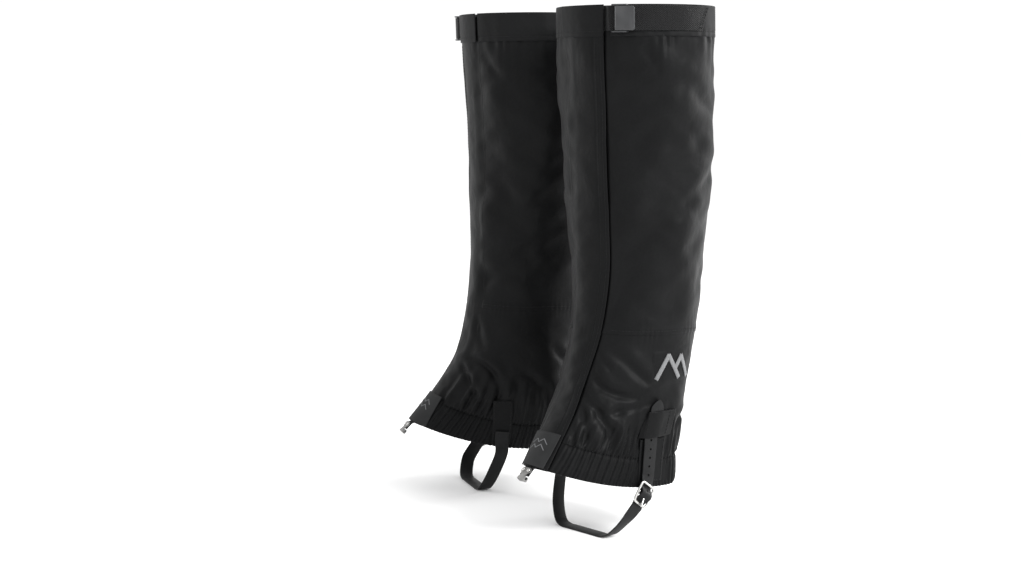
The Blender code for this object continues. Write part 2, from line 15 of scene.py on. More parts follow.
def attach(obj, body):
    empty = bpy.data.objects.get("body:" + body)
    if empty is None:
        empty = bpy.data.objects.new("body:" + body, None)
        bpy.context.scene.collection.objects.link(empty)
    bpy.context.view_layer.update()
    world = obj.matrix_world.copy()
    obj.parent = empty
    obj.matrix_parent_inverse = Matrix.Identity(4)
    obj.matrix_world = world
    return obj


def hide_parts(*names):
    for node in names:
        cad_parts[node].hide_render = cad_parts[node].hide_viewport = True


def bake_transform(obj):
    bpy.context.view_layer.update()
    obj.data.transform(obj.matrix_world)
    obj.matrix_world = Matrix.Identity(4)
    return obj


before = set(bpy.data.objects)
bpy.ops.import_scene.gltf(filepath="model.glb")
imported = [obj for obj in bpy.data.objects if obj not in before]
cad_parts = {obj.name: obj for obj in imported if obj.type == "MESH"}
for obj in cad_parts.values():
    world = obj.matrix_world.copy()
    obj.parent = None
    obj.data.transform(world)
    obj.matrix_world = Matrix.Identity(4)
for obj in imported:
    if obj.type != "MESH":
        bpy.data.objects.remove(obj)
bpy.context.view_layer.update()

MM = 0.001

# Where the legs stand
LEG_APART = 0.100
LEG_BACK = 0.0352
TOE_OUT = math.radians(11.3)

# The sleeve's sections: height at the front, side and back, reach to the front, back, sides
SECTIONS = (
    (72, 44, 54, 131, 30, 48, 48),
    (95, 70, 78, 111, 27, 50, 58),
    (120, 106, 108, 91, 36, 55, 66),
    (149, 144, 144, 76, 46, 57, 60),
    (192, 190, 184, 66, 58, 59, 50),
    (244, 244, 244, 62, 68, 63, 57),
    (294, 294, 294, 62, 71, 68, 66),
    (344, 344, 344, 62, 70, 73, 76),
    (394, 394, 394, 64, 67, 76, 82),
    (444, 444, 444, 68, 67, 78, 80),
    (491, 491, 491, 71, 67, 77, 77),
)
FLAP_FOLD = (21, 24, 25, 24, 22, 23, 24, 25, 26, 27, 28)
FLAP_FREE = (16, 15, 14.5, 14.5, 21, 26, 26, 24.5, 24.5, 25.5, 28)
HEM_TOP = 1.0
SEAM = 4.0
BAND = 9.35
RIM = 10.0

# Layers: how far the outer face of each stands out of the sleeve's smooth shape, and how thick
FABRIC = 0.5
UNDERLAP = -2.2
FLAP_OUT = 1.5
FLAP_THICK = 1.0
BAND_OUT = 1.3
BAND_THICK = 1.1
FLAP_BAND_OUT = 2.8
FLAP_BAND_THICK = 0.9
PATCH_OUT = 1.1
PATCH_THICK = 0.7
PATCH_STITCH_INSET = 1.6
# Patches: front and back edge ahead of the leg's axis, lower and upper edge
BACKING_SIDES = (38, 10, 50, 92)
ANCHOR_SIDES = (57, 38, 51, 98)
# Stitches in the bands, above their lower edge, in levels
BAND_STITCH = 0.085

# Metal and straps
STRAP_WIDTH = 14.0
STRAP_THICK = 1.4
STRAP_FRONT = 62.0
STRAP_SEWN_AHEAD = 47.0
HOLE_RADIUS = 1.1
HOLE_PITCH = 8.4
FIRST_HOLE = 22.0
TAB_WIDTH = 10.0
TAB_THICK = 1.0
WEBBING_WIDTH = 22.0
WEBBING_HEIGHT = 478.5
BUCKLE_ANGLE = math.radians(33.0)
FRAME_CENTRE = Vector((54.5, -37.5, 41.0)) * MM
FRAME_TILT = math.radians(35.0)
FRAME_HALF_HEIGHT = 10.0
FRAME_HALF_WIDTH = 8.75
FRAME_CORNER = 2.6
FRAME_WIRE = 1.25

# Camera
CAMERA_AT = Vector((1.4869, -0.8628, 0.4160))
CAMERA_AZIMUTH = math.radians(61.16)
CAMERA_DOWN = math.radians(6.54)
CAMERA_LENS = 61.31


# ---------------------------------------------------------------- the sleeve's surface

def smooth(value, start, end):
    """Return 0 before start, 1 after end, and a smooth step between."""
    share = np.clip((np.asarray(value, float) - start) / (end - start), 0, 1)
    return share * share * (3 - 2 * share)


def between(table, level):
    """Read a table of levels at any levels, along a smooth curve through its rows."""
    table = np.asarray(table, float)
    level = np.asarray(level, float)
    last = len(table) - 1
    row = np.clip(np.floor(level).astype(int), 0, last - 1)
    f = level - row
    if table.ndim == 2:
        f = f[..., None]
    before, here, there, after = (table[np.clip(row + k, 0, last)] for k in (-1, 0, 1, 2))
    b = (there - before) * f
    c = (2 * before - 5 * here + 4 * there - after) * f ** 2
    d = (3 * here - before - 3 * there + after) * f ** 3
    return here + 0.5 * (b + c + d)


def skin_point(angle, level):
    """Return points of the smooth sleeve, in millimetres. Angle 0 is the front, +90 lateral."""
    angle, level = np.broadcast_arrays(np.asarray(angle, float), np.asarray(level, float))
    m = between(SECTIONS, level)
    c, s = np.cos(angle), np.sin(angle)
    ahead = np.where(c > 0, m[..., 3], m[..., 4]) * c
    aside = np.where(s > 0, m[..., 5], m[..., 6]) * s
    end = np.where(c > 0, m[..., 0], m[..., 2])
    height = m[..., 1] + (end - m[..., 1]) * c * c
    return np.stack((aside, -ahead, height), -1)


def skin_normal(angle, level):
    step_angle, step_level = 0.02, 0.04
    low = np.maximum(np.asarray(level) - step_level, 0.0)
    high = np.minimum(np.asarray(level) + step_level, RIM)
    level = np.clip(level, 0.0, RIM)
    round_it = skin_point(angle + step_angle, level) - skin_point(angle - step_angle, level)
    up_it = skin_point(angle, high) - skin_point(angle, low)
    normal = np.cross(round_it, up_it)
    return normal / np.linalg.norm(normal, axis=-1, keepdims=True)


def angle_at(aside, level):
    """Return the angle at which the front of the section is this far from the centre line."""
    m = between(SECTIONS, level)
    reach = np.where(np.asarray(aside) > 0, m[..., 5], m[..., 6])
    return np.arcsin(np.clip(aside / reach, -1, 1))


def fold_at(level):
    return -between(FLAP_FOLD, level)


def free_at(level):
    return between(FLAP_FREE, level)


def level_at(angle, height):
    """Return the level at which the sleeve has a height, at an angle."""
    angle, height = np.broadcast_arrays(np.asarray(angle, float), np.asarray(height, float))
    low, high = np.zeros(angle.shape), np.full(angle.shape, RIM)
    for _ in range(36):
        middle = 0.5 * (low + high)
        under = skin_point(angle, middle)[..., 2] < height
        low = np.where(under, middle, low)
        high = np.where(under, high, middle)
    return 0.5 * (low + high)


def on_side(ahead, height, flank=1):
    """Return the angle and level on a flank, at distances ahead of the leg's axis and heights."""
    ahead, height = np.broadcast_arrays(np.asarray(ahead, float), np.asarray(height, float))
    low, high = np.zeros(ahead.shape), np.full(ahead.shape, RIM)
    for _ in range(36):
        level = 0.5 * (low + high)
        m = between(SECTIONS, level)
        reach = np.where(ahead > 0, m[..., 3], m[..., 4])
        angle = flank * np.arccos(np.clip(ahead / reach, -1, 1))
        under = skin_point(angle, level)[..., 2] < height
        low = np.where(under, level, low)
        high = np.where(under, high, level)
    return angle, level


# ---------------------------------------------------------------- drape, folds and gathers

# Broad drape: waves round the leg, phase, slant per level, size
DRAPE = (
    (2, 0.4, 1.7, 0.55), (3, 2.1, -1.2, 0.62), (4, 0.9, 2.3, 0.60), (5, 3.7, -2.0, 0.52),
    (7, 1.3, 1.1, 0.42), (8, 4.4, -2.7, 0.36), (11, 5.0, 2.9, 0.24), (13, 0.2, -3.6, 0.16),
)
# Smaller dents, which run up and down as well as round
DENTS = (
    (4, 1.1, 6.3, 0.30), (6, 2.7, -7.4, 0.30), (9, 0.3, 9.1, 0.20), (5, 4.2, 11.7, 0.18),
    (12, 3.3, -12.9, 0.13), (15, 1.9, 15.2, 0.09),
)
# Folds: points (angle in degrees, height), half width and depth
LEFT_FOLDS = (
    (((28, 176), (44, 166), (58, 152), (68, 142)), 4.4, 2.0),
    (((6, 170), (20, 152), (32, 140), (50, 133), (62, 131)), 4.6, 2.5),
    (((17, 175), (30, 162), (36, 157)), 2.8, 1.1),
    (((16, 132), (32, 121), (42, 108), (50, 95), (54, 78)), 4.0, 3.0),
    (((38, 116), (52, 120), (72, 126)), 4.2, 1.5),
    (((14, 128), (26, 112), (32, 98), (39, 82)), 3.2, 2.2),
    (((17, 110), (24, 96), (30, 84)), 2.6, 1.3),
    (((60, 104), (68, 90), (70, 78)), 3.4, 1.0),
    (((92, 96), (104, 106), (120, 112)), 4.0, 1.5),
    (((112, 112), (140, 104), (172, 108)), 4.5, 2.2),
    (((150, 138), (185, 128), (222, 134)), 5.0, 2.0),
    (((205, 104), (240, 98), (268, 88)), 4.2, 2.4),
    (((250, 150), (280, 136), (305, 132)), 4.5, 2.0),
    (((285, 112), (305, 104), (318, 90)), 3.6, 2.2),
    (((46, 455), (54, 440), (60, 428)), 4.5, 1.3),
    (((84, 300), (104, 322), (128, 340)), 7.0, 1.0),
    (((36, 232), (60, 212), (84, 206)), 6.0, 1.1),
    (((72, 392), (92, 372), (104, 350)), 7.0, 0.9),
    (((150, 400), (178, 380), (200, 352)), 8.0, 1.2),
    (((225, 300), (250, 280), (272, 268)), 8.0, 1.2),
)
RIGHT_FOLDS = (
    (((-16, 138), (-32, 137), (-46, 128), (-54, 114), (-57, 94), (-58, 78)), 3.4, 2.3),
    (((-8, 136), (-24, 124), (-38, 106), (-46, 94)), 3.4, 2.3),
    (((-8, 112), (-18, 98), (-24, 84)), 2.8, 1.5),
    (((-30, 112), (-38, 96), (-40, 80)), 2.8, 1.2),
    (((-10, 188), (-24, 168), (-36, 146)), 5.0, 1.2),
    (((-6, 232), (-26, 226), (-50, 228)), 6.0, 0.9),
    (((-70, 128), (-84, 112), (-92, 92)), 4.5, 2.2),
    (((-96, 150), (-124, 132), (-150, 128)), 5.0, 2.2),
    (((-128, 108), (-160, 100), (-190, 106)), 4.5, 2.2),
    (((-200, 140), (-235, 128), (-262, 134)), 5.0, 2.0),
    (((-268, 106), (-290, 98), (-304, 86)), 4.0, 2.4),
    (((-300, 160), (-320, 146), (-334, 132)), 4.0, 2.0),
    (((-26, 452), (-34, 436), (-44, 424)), 4.5, 1.2),
    (((-30, 330), (-56, 300), (-80, 290)), 8.0, 1.1),
    (((-20, 214), (-44, 226), (-70, 224)), 6.0, 1.2),
    (((-100, 380), (-130, 350), (-160, 340)), 8.0, 1.2),
)
AROUND = 60.0
PER_LEVEL = 44.0


def fold_line(points):
    """Return a smooth line of (distance round, distance up) through a fold's points."""
    angles = np.radians([p[0] for p in points])
    levels = level_at(angles, np.array([p[1] for p in points], float))
    spots = np.linspace(0, len(points) - 1, 10 * len(points))
    line = between(np.stack((angles, levels), 1), spots)
    return line * (AROUND, PER_LEVEL), spots / (len(points) - 1)


def fold_depth(angle, level, folds):
    """Return the depth of the creases: a groove with a soft ridge on its upper side."""
    total = np.zeros(np.broadcast(angle, level).shape)
    up = np.broadcast_to(level * PER_LEVEL, total.shape)
    for points, width, depth in folds:
        line, share = fold_line(points)
        shift = np.round((np.broadcast_to(angle, total.shape) - line[:, 0].mean() / AROUND)
                         / (2 * np.pi)) * 2 * np.pi
        across = (angle - shift) * AROUND
        near = np.full(total.shape, 1e9)
        side = np.zeros(total.shape)
        fade = np.zeros(total.shape)
        for k in range(len(line) - 1):
            start, step = line[k], line[k + 1] - line[k]
            length = np.hypot(*step)
            t = ((across - start[0]) * step[0] + (up - start[1]) * step[1]) / length ** 2
            t = np.clip(t, 0, 1)
            gap_x = across - start[0] - t * step[0]
            gap_y = up - start[1] - t * step[1]
            gap = np.hypot(gap_x, gap_y)
            better = gap < near
            near = np.where(better, gap, near)
            side = np.where(better, np.sign(gap_y), side)
            fade = np.where(better, share[k] + t * (share[k + 1] - share[k]), fade)
        taper = np.sin(np.pi * np.clip(fade, 0.02, 0.98)) ** 0.7
        groove = np.exp(-(near / width) ** 2)
        ridge = np.exp(-((near * side - 2.0 * width) / (1.3 * width)) ** 2)
        total += depth * taper * (0.6 * ridge - 1.25 * groove)
    return total


def hem_length():
    """Return angles once round the hem, and the same turn shared out evenly by length."""
    angle = np.linspace(-np.pi, np.pi, 721)
    step = np.linalg.norm(np.diff(skin_point(angle, 0.5), axis=0), axis=1)
    length = np.concatenate(([0], np.cumsum(step)))
    return angle, (2 * length / length[-1] - 1) * np.pi


HEM_ANGLE, HEM_EVEN = hem_length()


def evened(angle, back=False):
    """Turn an angle into one that runs evenly along the hem, or back."""
    source, target = (HEM_EVEN, HEM_ANGLE) if back else (HEM_ANGLE, HEM_EVEN)
    turns = np.floor((np.asarray(angle) + np.pi) / (2 * np.pi)) * 2 * np.pi
    return np.interp(angle - turns, source, target) + turns


def gathers(angle, level, turn):
    """Return the pleats of the elastic hem, the puffed cloth above it and the band's puckers."""
    even = evened(angle)
    bend = 2.0 * np.sin(4 * even + 1 + turn) + 1.3 * np.sin(9 * even + turn)
    drift = 0.9 * np.sin(3 * level + 6 * even + turn)
    fine = 2.2 * np.abs(np.cos(52 * even + 0.5 * (bend + drift))) ** 0.8 - 1.4
    middle = np.cos(47 * even + 2.2 * np.sin(5 * even + 2 * turn) + 0.7 + drift)
    long_one = np.cos(23 * even + 1.8 * np.sin(3 * even + turn))
    patchy = 0.6 + 0.5 * np.sin(7 * angle + turn)
    in_hem = 1 - smooth(level, 1.0, 1.35)
    casing = 1.1 * np.sin(np.pi * np.clip(level, 0, 1)) ** 0.6
    pinch = -0.7 * np.exp(-((level - HEM_TOP) / 0.06) ** 2)
    above = smooth(level, 1.0, 1.15) * (1 - smooth(level, 1.3, 2.1))
    higher = smooth(level, 1.0, 1.4) * (1 - smooth(level, 1.6, 2.7))
    hem = (0.62 + 0.34 * middle) * fine * in_hem + casing + pinch
    hem += (0.75 * middle + 0.35 * fine * patchy) * above + 1.2 * long_one * higher
    below_band = np.exp(-np.abs(BAND - level) / 0.22) * (level < BAND + 0.2)
    pucker = 0.75 * patchy * np.cos(36 * angle + bend) + 0.55 * np.cos(22 * angle - bend)
    below_seam = np.exp(-np.abs(level - SEAM) / 0.10)
    seam_pucker = 0.22 * patchy * np.cos(61 * angle + bend)
    return hem + pucker * below_band + seam_pucker * below_seam


def calmed(relief, angle, level):
    """Flatten the relief under the sewn patches and the embroidered mark."""
    point = skin_point(angle, level)
    ahead, height, lateral = -point[..., 1], point[..., 2], np.sin(angle) > 0

    def box(front, back, low, high):
        inside = smooth(ahead, back - 3, back) * (1 - smooth(ahead, front, front + 3))
        return inside * smooth(height, low - 4, low) * (1 - smooth(height, high, high + 4))

    patches = np.where(lateral, box(40, 2, 50, 120), box(*ANCHOR_SIDES))
    relief = relief + (np.minimum(relief, 0.3) - relief) * patches
    return relief * (1 - 0.92 * np.where(lateral, box(25, -17, 147, 171), 0))


class Leg:
    """One gaiter: its place, its mirroring and its own drape."""

    def __init__(self, name, hand, turn, folds):
        self.name = name
        self.hand = hand
        self.turn = turn
        self.folds = folds
        self.flap_body = "flap_" + name

    def place(self, points):
        """Take millimetres in the leg frame to metres in the scene."""
        points = np.asarray(points, float) * MM
        x, y = points[..., 0] * self.hand, points[..., 1]
        c, s = math.cos(self.hand * TOE_OUT), math.sin(self.hand * TOE_OUT)
        world_x = self.hand * LEG_APART + c * x - s * y
        world_y = LEG_BACK + s * x + c * y
        return np.stack((world_x, world_y, points[..., 2]), -1)

    def relief(self, angle, level):
        """Return how far the cloth stands out of its smooth shape."""
        angle, level = np.asarray(angle, float), np.asarray(level, float)
        drape = 0
        for waves, phase, slant, size in DRAPE:
            drape = drape + size * np.cos(waves * angle + phase + self.turn * waves + slant * level)
        held = smooth(level, SEAM, SEAM + 0.7) * (1 - smooth(level, BAND - 0.7, BAND))
        ankle = smooth(level, 1.2, 2.2) * (1 - smooth(level, SEAM - 0.7, SEAM))
        for waves, phase, slant, size in DENTS:
            drape = drape + size * np.cos(waves * angle + phase + self.turn * waves + slant * level)
        drape = drape * (0.15 + 1.05 * held + 0.5 * ankle)
        relief = drape + fold_depth(angle, level, self.folds) + gathers(angle, level, self.turn)
        return calmed(relief, angle, level)

    def panel_lift(self, angle, level):
        """Return the sleeve's lift: relief all round, sunk and flat where the flap covers it."""
        fold, free = angle_at(fold_at(level), level), angle_at(free_at(level), level)
        width = 5.0 / AROUND
        past_free = smooth(angle, free - 0.5 * width, free + 0.4 * width)
        before_fold = 1 - smooth(angle, fold + 2 * np.pi, fold + 2 * np.pi + 0.5 * width)
        keep = smooth(angle, free - 0.3 * width, free + 1.8 * width)
        relief = self.relief(angle, level)
        next_to_flap = 1 - smooth(angle, free, free + 5 * width)
        relief = np.maximum(relief, -3.6 + 2.6 * next_to_flap) * keep * before_fold
        relief = np.minimum(relief, 0.7 + 9.0 * (1 - smooth(level, BAND - 0.25, BAND - 0.02)))
        return relief + UNDERLAP * (1 - past_free) - 1.3 * (1 - before_fold)


LEGS = (Leg("left", 1, 0.0, LEFT_FOLDS), Leg("right", -1, 1.9, RIGHT_FOLDS))


# ---------------------------------------------------------------- meshes

def make_object(name, leg, points, faces, finish, uv=None):
    """Make an object from points in the leg frame (millimetres) and faces that face outwards."""
    if leg.hand < 0:
        faces = [face[::-1] for face in faces]
    data = bpy.data.meshes.new(f"{name}_{leg.name}")
    data.from_pydata(leg.place(points).tolist(), [], faces)
    data.materials.append(finish)
    if uv is not None:
        layer = data.uv_layers.new(name="cloth")
        loops = np.zeros(len(data.loops), int)
        data.loops.foreach_get("vertex_index", loops)
        layer.data.foreach_set("uv", (np.asarray(uv) * MM)[loops].astype(np.float32).ravel())
    data.shade_smooth()
    made = bpy.data.objects.new(f"{name}_{leg.name}", data)
    bpy.context.scene.collection.objects.link(made)
    return made


def closed_grid(outer, inner, uv=None):
    """Return points, faces and UVs of the closed shell between two grids of one shape."""
    rows, columns = outer.shape[:2]
    points = np.concatenate((outer.reshape(-1, 3), inner.reshape(-1, 3)))
    here = np.arange(rows * columns).reshape(rows, columns)
    under = here + rows * columns
    a, b, c, d = here[:-1, :-1], here[:-1, 1:], here[1:, 1:], here[1:, :-1]
    faces = np.stack((a, b, c, d), -1).reshape(-1, 4).tolist()
    a, b, c, d = (grid + rows * columns for grid in (a, b, c, d))
    faces += np.stack((d, c, b, a), -1).reshape(-1, 4).tolist()
    rims = ((here[0], under[0]), (here[-1][::-1], under[-1][::-1]),
            (here[::-1, 0], under[::-1, 0]), (here[:, -1], under[:, -1]))
    for top, low in rims:
        faces += np.stack((low[:-1], low[1:], top[1:], top[:-1]), -1).tolist()
    if uv is not None:
        uv = np.concatenate((uv.reshape(-1, 2), uv.reshape(-1, 2)))
    return points, faces, uv


def with_edges(values, margin):
    """Add a value close to each end, so that an edge can be rounded there."""
    start, end = values[0], values[-1]
    step = margin if end > start else -margin
    return np.concatenate(([start, start + step], values[1:-1], [end - step, end]))


def rounded(lift, thick, ends=(1, 1, 1, 1)):
    """Return lift and thickness with thinner borders: first row, last row, first and last column."""
    share = np.ones(lift.shape)
    for on, index in zip(ends, ((0, slice(None)), (-1, slice(None)), (slice(None), 0),
                                (slice(None), -1))):
        if on:
            share[index] = 0.35
    return lift - thick * (1 - share) / 2, thick * share


def sleeve_piece(name, leg, levels, columns, lift, thick, finish, ends=(1, 1, 1, 1)):
    """A layer of the sleeve. columns(level) gives its angles and lift(angle, level) its height."""
    levels = np.asarray(levels, float)[:, None]
    angles = np.stack([columns(float(level)) for level in levels[:, 0]])
    level = np.broadcast_to(levels, angles.shape)
    height, depth = rounded(lift(angles, level), np.full(angles.shape, float(thick)), ends)
    base, normal = skin_point(angles, level), skin_normal(angles, level)
    outer = base + normal * height[..., None]
    inner = base + normal * (height - depth)[..., None]
    uv = np.stack((angles * AROUND, base[..., 2]), -1)
    return make_shell(name, leg, outer, inner, finish, uv)


def make_shell(name, leg, outer, inner, finish, uv):
    """Make the object of the closed shell between two grids."""
    points, faces, uv = closed_grid(outer, inner, uv)
    return make_object(name, leg, points, faces, finish, uv)


def lofted(rings, sides, closed=False):
    """Return the faces between rings of points, with end caps unless the rings close up."""
    faces = []
    for i in range(rings if closed else rings - 1):
        a, b = i * sides, (i + 1) % rings * sides
        for k in range(sides):
            j = (k + 1) % sides
            faces.append([a + k, a + j, b + j, b + k])
    if not closed:
        faces.append(list(range(sides))[::-1])
        faces.append(list(range((rings - 1) * sides, rings * sides)))
    return faces


def tube_grid(path, radius, sides, closed=False, flat=1.0, plane=None):
    """Return points and faces of a round wire. flat squeezes it along the path's plane normal."""
    path = np.asarray(path, float)
    count = len(path)
    if closed:
        along = np.roll(path, -1, 0) - np.roll(path, 1, 0)
    else:
        along = np.gradient(path, axis=0)
    along /= np.linalg.norm(along, axis=1, keepdims=True)
    plane = np.asarray(plane, float) / np.linalg.norm(plane)
    side = np.cross(along, plane)
    side /= np.linalg.norm(side, axis=1, keepdims=True)
    turns = 2 * np.pi * np.arange(sides) / sides
    radius = np.broadcast_to(radius, (count,))[:, None, None]
    ring = side[:, None] * np.cos(turns)[:, None] + plane * flat * np.sin(turns)[:, None]
    points = (path[:, None] + ring * radius).reshape(-1, 3)
    return points, lofted(count, sides, closed)


def fine_path(points, per_span):
    """Return a smooth curve through points, with this many steps a span."""
    points = np.asarray(points, float)
    spots = np.linspace(0, len(points) - 1, per_span * (len(points) - 1) + 1)
    return between(points, spots)


def joined(parts):
    """Join several (points, faces) into one."""
    points, faces, start = [], [], 0
    for some_points, some_faces in parts:
        points.append(np.asarray(some_points))
        faces += [[index + start for index in face] for face in some_faces]
        start += len(some_points)
    return np.concatenate(points), faces


# ---------------------------------------------------------------- materials

def add_node(tree, kind, inputs=None, **settings):
    """Add a shader node; inputs are values or the output sockets to link."""
    made = tree.nodes.new("ShaderNode" + kind)
    for key, value in settings.items():
        setattr(made, key, value)
    for key, value in (inputs or {}).items():
        if isinstance(value, bpy.types.NodeSocket):
            tree.links.new(value, made.inputs[key])
        else:
            made.inputs[key].default_value = value
    return made


def start_material(name):
    made = bpy.data.materials.new(name)
    made.use_nodes = True
    return made, made.node_tree, made.node_tree.nodes["Principled BSDF"]


def maths(tree, operation, a, b=0.0):
    return add_node(tree, "Math", {0: a, 1: b}, operation=operation).outputs[0]


def shades(tree, factor, dark, light):
    """A colour ramp between two colours."""
    ramp = add_node(tree, "ValToRGB", {"Fac": factor})
    ramp.color_ramp.elements[0].color = (*dark, 1)
    ramp.color_ramp.elements[1].color = (*light, 1)
    ramp.color_ramp.elements[0].position = 0.25
    ramp.color_ramp.elements[1].position = 0.75
    return ramp.outputs["Color"]


def spread(tree, value, low, high):
    """Map 0..1 to a range."""
    return add_node(tree, "MapRange", {"Value": value, "To Min": low, "To Max": high}).outputs[0]


def fabric(name, dark, light, rough, pitch, relief=0.06, sheen=0.02, crinkle=0.35,
           specular=0.075):
    """Woven cloth: threads of a pitch (metres), uneven dye and fine crinkles."""
    made, tree, shader = start_material(name)
    uv = add_node(tree, "UVMap", uv_map="cloth").outputs["UV"]
    parts = add_node(tree, "SeparateXYZ", {0: uv}).outputs
    across = maths(tree, "SINE", maths(tree, "MULTIPLY", parts[0], math.pi / pitch))
    along = maths(tree, "SINE", maths(tree, "MULTIPLY", parts[1], math.pi / pitch))
    weave = maths(tree, "MULTIPLY", across, along)
    where = add_node(tree, "TexCoord").outputs["Object"]
    cloudy = add_node(tree, "TexNoise", {"Vector": where, "Scale": 16.0, "Detail": 5.0})
    fine = add_node(tree, "TexNoise", {"Vector": where, "Scale": 420.0, "Detail": 3.0})
    crinkled = add_node(tree, "TexNoise", {"Vector": where, "Scale": 75.0, "Detail": 4.0,
                                           "Distortion": 0.6})
    mixed = maths(tree, "ADD", maths(tree, "MULTIPLY", cloudy.outputs[0], 0.7),
                  maths(tree, "MULTIPLY", fine.outputs[0], 0.3))
    woven = maths(tree, "ADD", mixed, maths(tree, "MULTIPLY", weave, 0.08))
    tree.links.new(shades(tree, woven, dark, light), shader.inputs["Base Color"])
    rough_map = spread(tree, cloudy.outputs[0], rough - 0.09, rough + 0.09)
    tree.links.new(rough_map, shader.inputs["Roughness"])
    soft = add_node(tree, "TexNoise", {"Vector": where, "Scale": 24.0, "Detail": 3.0,
                                       "Distortion": 0.3})
    broad = add_node(tree, "Bump", {"Height": soft.outputs[0], "Strength": crinkle,
                                    "Distance": 0.006})
    bump = add_node(tree, "Bump", {"Height": crinkled.outputs[0], "Strength": 0.7 * crinkle,
                                   "Distance": 0.0014, "Normal": broad.outputs[0]})
    threads = add_node(tree, "Bump", {"Height": weave, "Strength": relief, "Distance": pitch,
                                      "Normal": bump.outputs[0]})
    tree.links.new(threads.outputs[0], shader.inputs["Normal"])
    shader.inputs["Sheen Weight"].default_value = sheen
    shader.inputs["Sheen Roughness"].default_value = 0.4
    shader.inputs["Specular IOR Level"].default_value = specular
    return made


def plastic(name, dark, light, rough, grain, coat=0.0, specular=0.14):
    """Moulded plastic or rubber: fine grain, faint mottling and worn spots."""
    made, tree, shader = start_material(name)
    where = add_node(tree, "TexCoord").outputs["Object"]
    cloudy = add_node(tree, "TexNoise", {"Vector": where, "Scale": 60.0, "Detail": 6.0})
    fine = add_node(tree, "TexNoise", {"Vector": where, "Scale": 1400.0, "Detail": 2.0})
    tree.links.new(shades(tree, cloudy.outputs[0], dark, light), shader.inputs["Base Color"])
    rough_map = spread(tree, cloudy.outputs[0], rough - 0.08, rough + 0.08)
    tree.links.new(rough_map, shader.inputs["Roughness"])
    bump = add_node(tree, "Bump", {"Height": fine.outputs[0], "Strength": grain,
                                   "Distance": 0.0003})
    tree.links.new(bump.outputs[0], shader.inputs["Normal"])
    shader.inputs["Specular IOR Level"].default_value = specular
    shader.inputs["Coat Weight"].default_value = coat
    shader.inputs["Coat Roughness"].default_value = 0.15
    return made


def metal(name, dark, light, rough, brushed):
    """Plated metal: brushed along one way, with dull handling marks."""
    made, tree, shader = start_material(name)
    where = add_node(tree, "TexCoord").outputs["Object"]
    stretched = add_node(tree, "Mapping", {"Vector": where, "Scale": (1.0, 1.0, 9.0)})
    marks = add_node(tree, "TexNoise", {"Vector": stretched.outputs[0], "Scale": 700.0,
                                        "Detail": 3.0})
    cloudy = add_node(tree, "TexNoise", {"Vector": where, "Scale": 130.0, "Detail": 5.0})
    tree.links.new(shades(tree, cloudy.outputs[0], dark, light), shader.inputs["Base Color"])
    rough_map = spread(tree, cloudy.outputs[0], rough - 0.07, rough + 0.12)
    tree.links.new(rough_map, shader.inputs["Roughness"])
    bump = add_node(tree, "Bump", {"Height": marks.outputs[0], "Strength": brushed,
                                   "Distance": 0.0002})
    tree.links.new(bump.outputs[0], shader.inputs["Normal"])
    shader.inputs["Metallic"].default_value = 1.0
    return made


NYLON = fabric("nylon", (0.0032, 0.0033, 0.0035), (0.0064, 0.0066, 0.0069), 0.46, 0.00045)
HEM_NYLON = fabric("hem_nylon", (0.0028, 0.0029, 0.0031), (0.0056, 0.0058, 0.0061), 0.58,
                   0.00045)
BAND_NYLON = fabric("band_nylon", (0.0044, 0.0045, 0.0048), (0.0085, 0.0087, 0.0090), 0.54,
                    0.00045)
WEBBING = fabric("ribbed_webbing", (0.0055, 0.0056, 0.0059), (0.0125, 0.0127, 0.0131), 0.62, 0.0009,
                 relief=0.7, sheen=0.04, crinkle=0.1, specular=0.14)
PILE = fabric("hook_loop_pile", (0.003, 0.003, 0.0033), (0.008, 0.008, 0.0085), 0.95, 0.0011,
              relief=0.6, sheen=0.15, crinkle=0.8)
THREAD = fabric("black_thread", (0.008, 0.0082, 0.0085), (0.015, 0.0153, 0.0157), 0.6, 0.0003)
GREY_THREAD = fabric("grey_thread", (0.10, 0.101, 0.104), (0.20, 0.202, 0.206), 0.48, 0.0003,
                     relief=0.2, sheen=0.3, crinkle=0.1)
STRAP = plastic("coated_strap", (0.0062, 0.0064, 0.0067), (0.0110, 0.0112, 0.0116), 0.50, 0.25)
RUBBER = plastic("grey_rubber", (0.011, 0.0113, 0.0117), (0.019, 0.0194, 0.0200), 0.62, 0.35)
MOTIF = plastic("raised_motif", (0.085, 0.087, 0.09), (0.13, 0.133, 0.137), 0.5, 0.2)
ACETAL = plastic("buckle_acetal", (0.018, 0.0185, 0.020), (0.030, 0.031, 0.033), 0.32, 0.12, 0.15,
                 0.4)
DARK_STEEL = metal("dark_steel", (0.05, 0.05, 0.052), (0.09, 0.09, 0.092), 0.42, 0.2)
NICKEL = metal("bright_nickel", (0.46, 0.455, 0.445), (0.62, 0.615, 0.60), 0.22, 0.10)
SATIN = metal("satin_nickel", (0.17, 0.169, 0.165), (0.27, 0.268, 0.262), 0.40, 0.22)


# ---------------------------------------------------------------- stitches

STITCH = 2.4
STITCH_PITCH = 3.1
STITCH_RADIUS = 0.26


def stitch_template():
    """Return points and faces of one stitch: a small capsule along X."""
    rings = ((-0.5, 0.25), (-0.42, 0.8), (-0.2, 1.0), (0.2, 1.0), (0.42, 0.8), (0.5, 0.25))
    sides = 6
    points = []
    for along, size in rings:
        for k in range(sides):
            a = 2 * math.pi * k / sides
            points.append((along * STITCH, size * STITCH_RADIUS * math.cos(a),
                           size * STITCH_RADIUS * math.sin(a)))
    return np.array(points), [face[::-1] for face in lofted(len(rings), sides)]


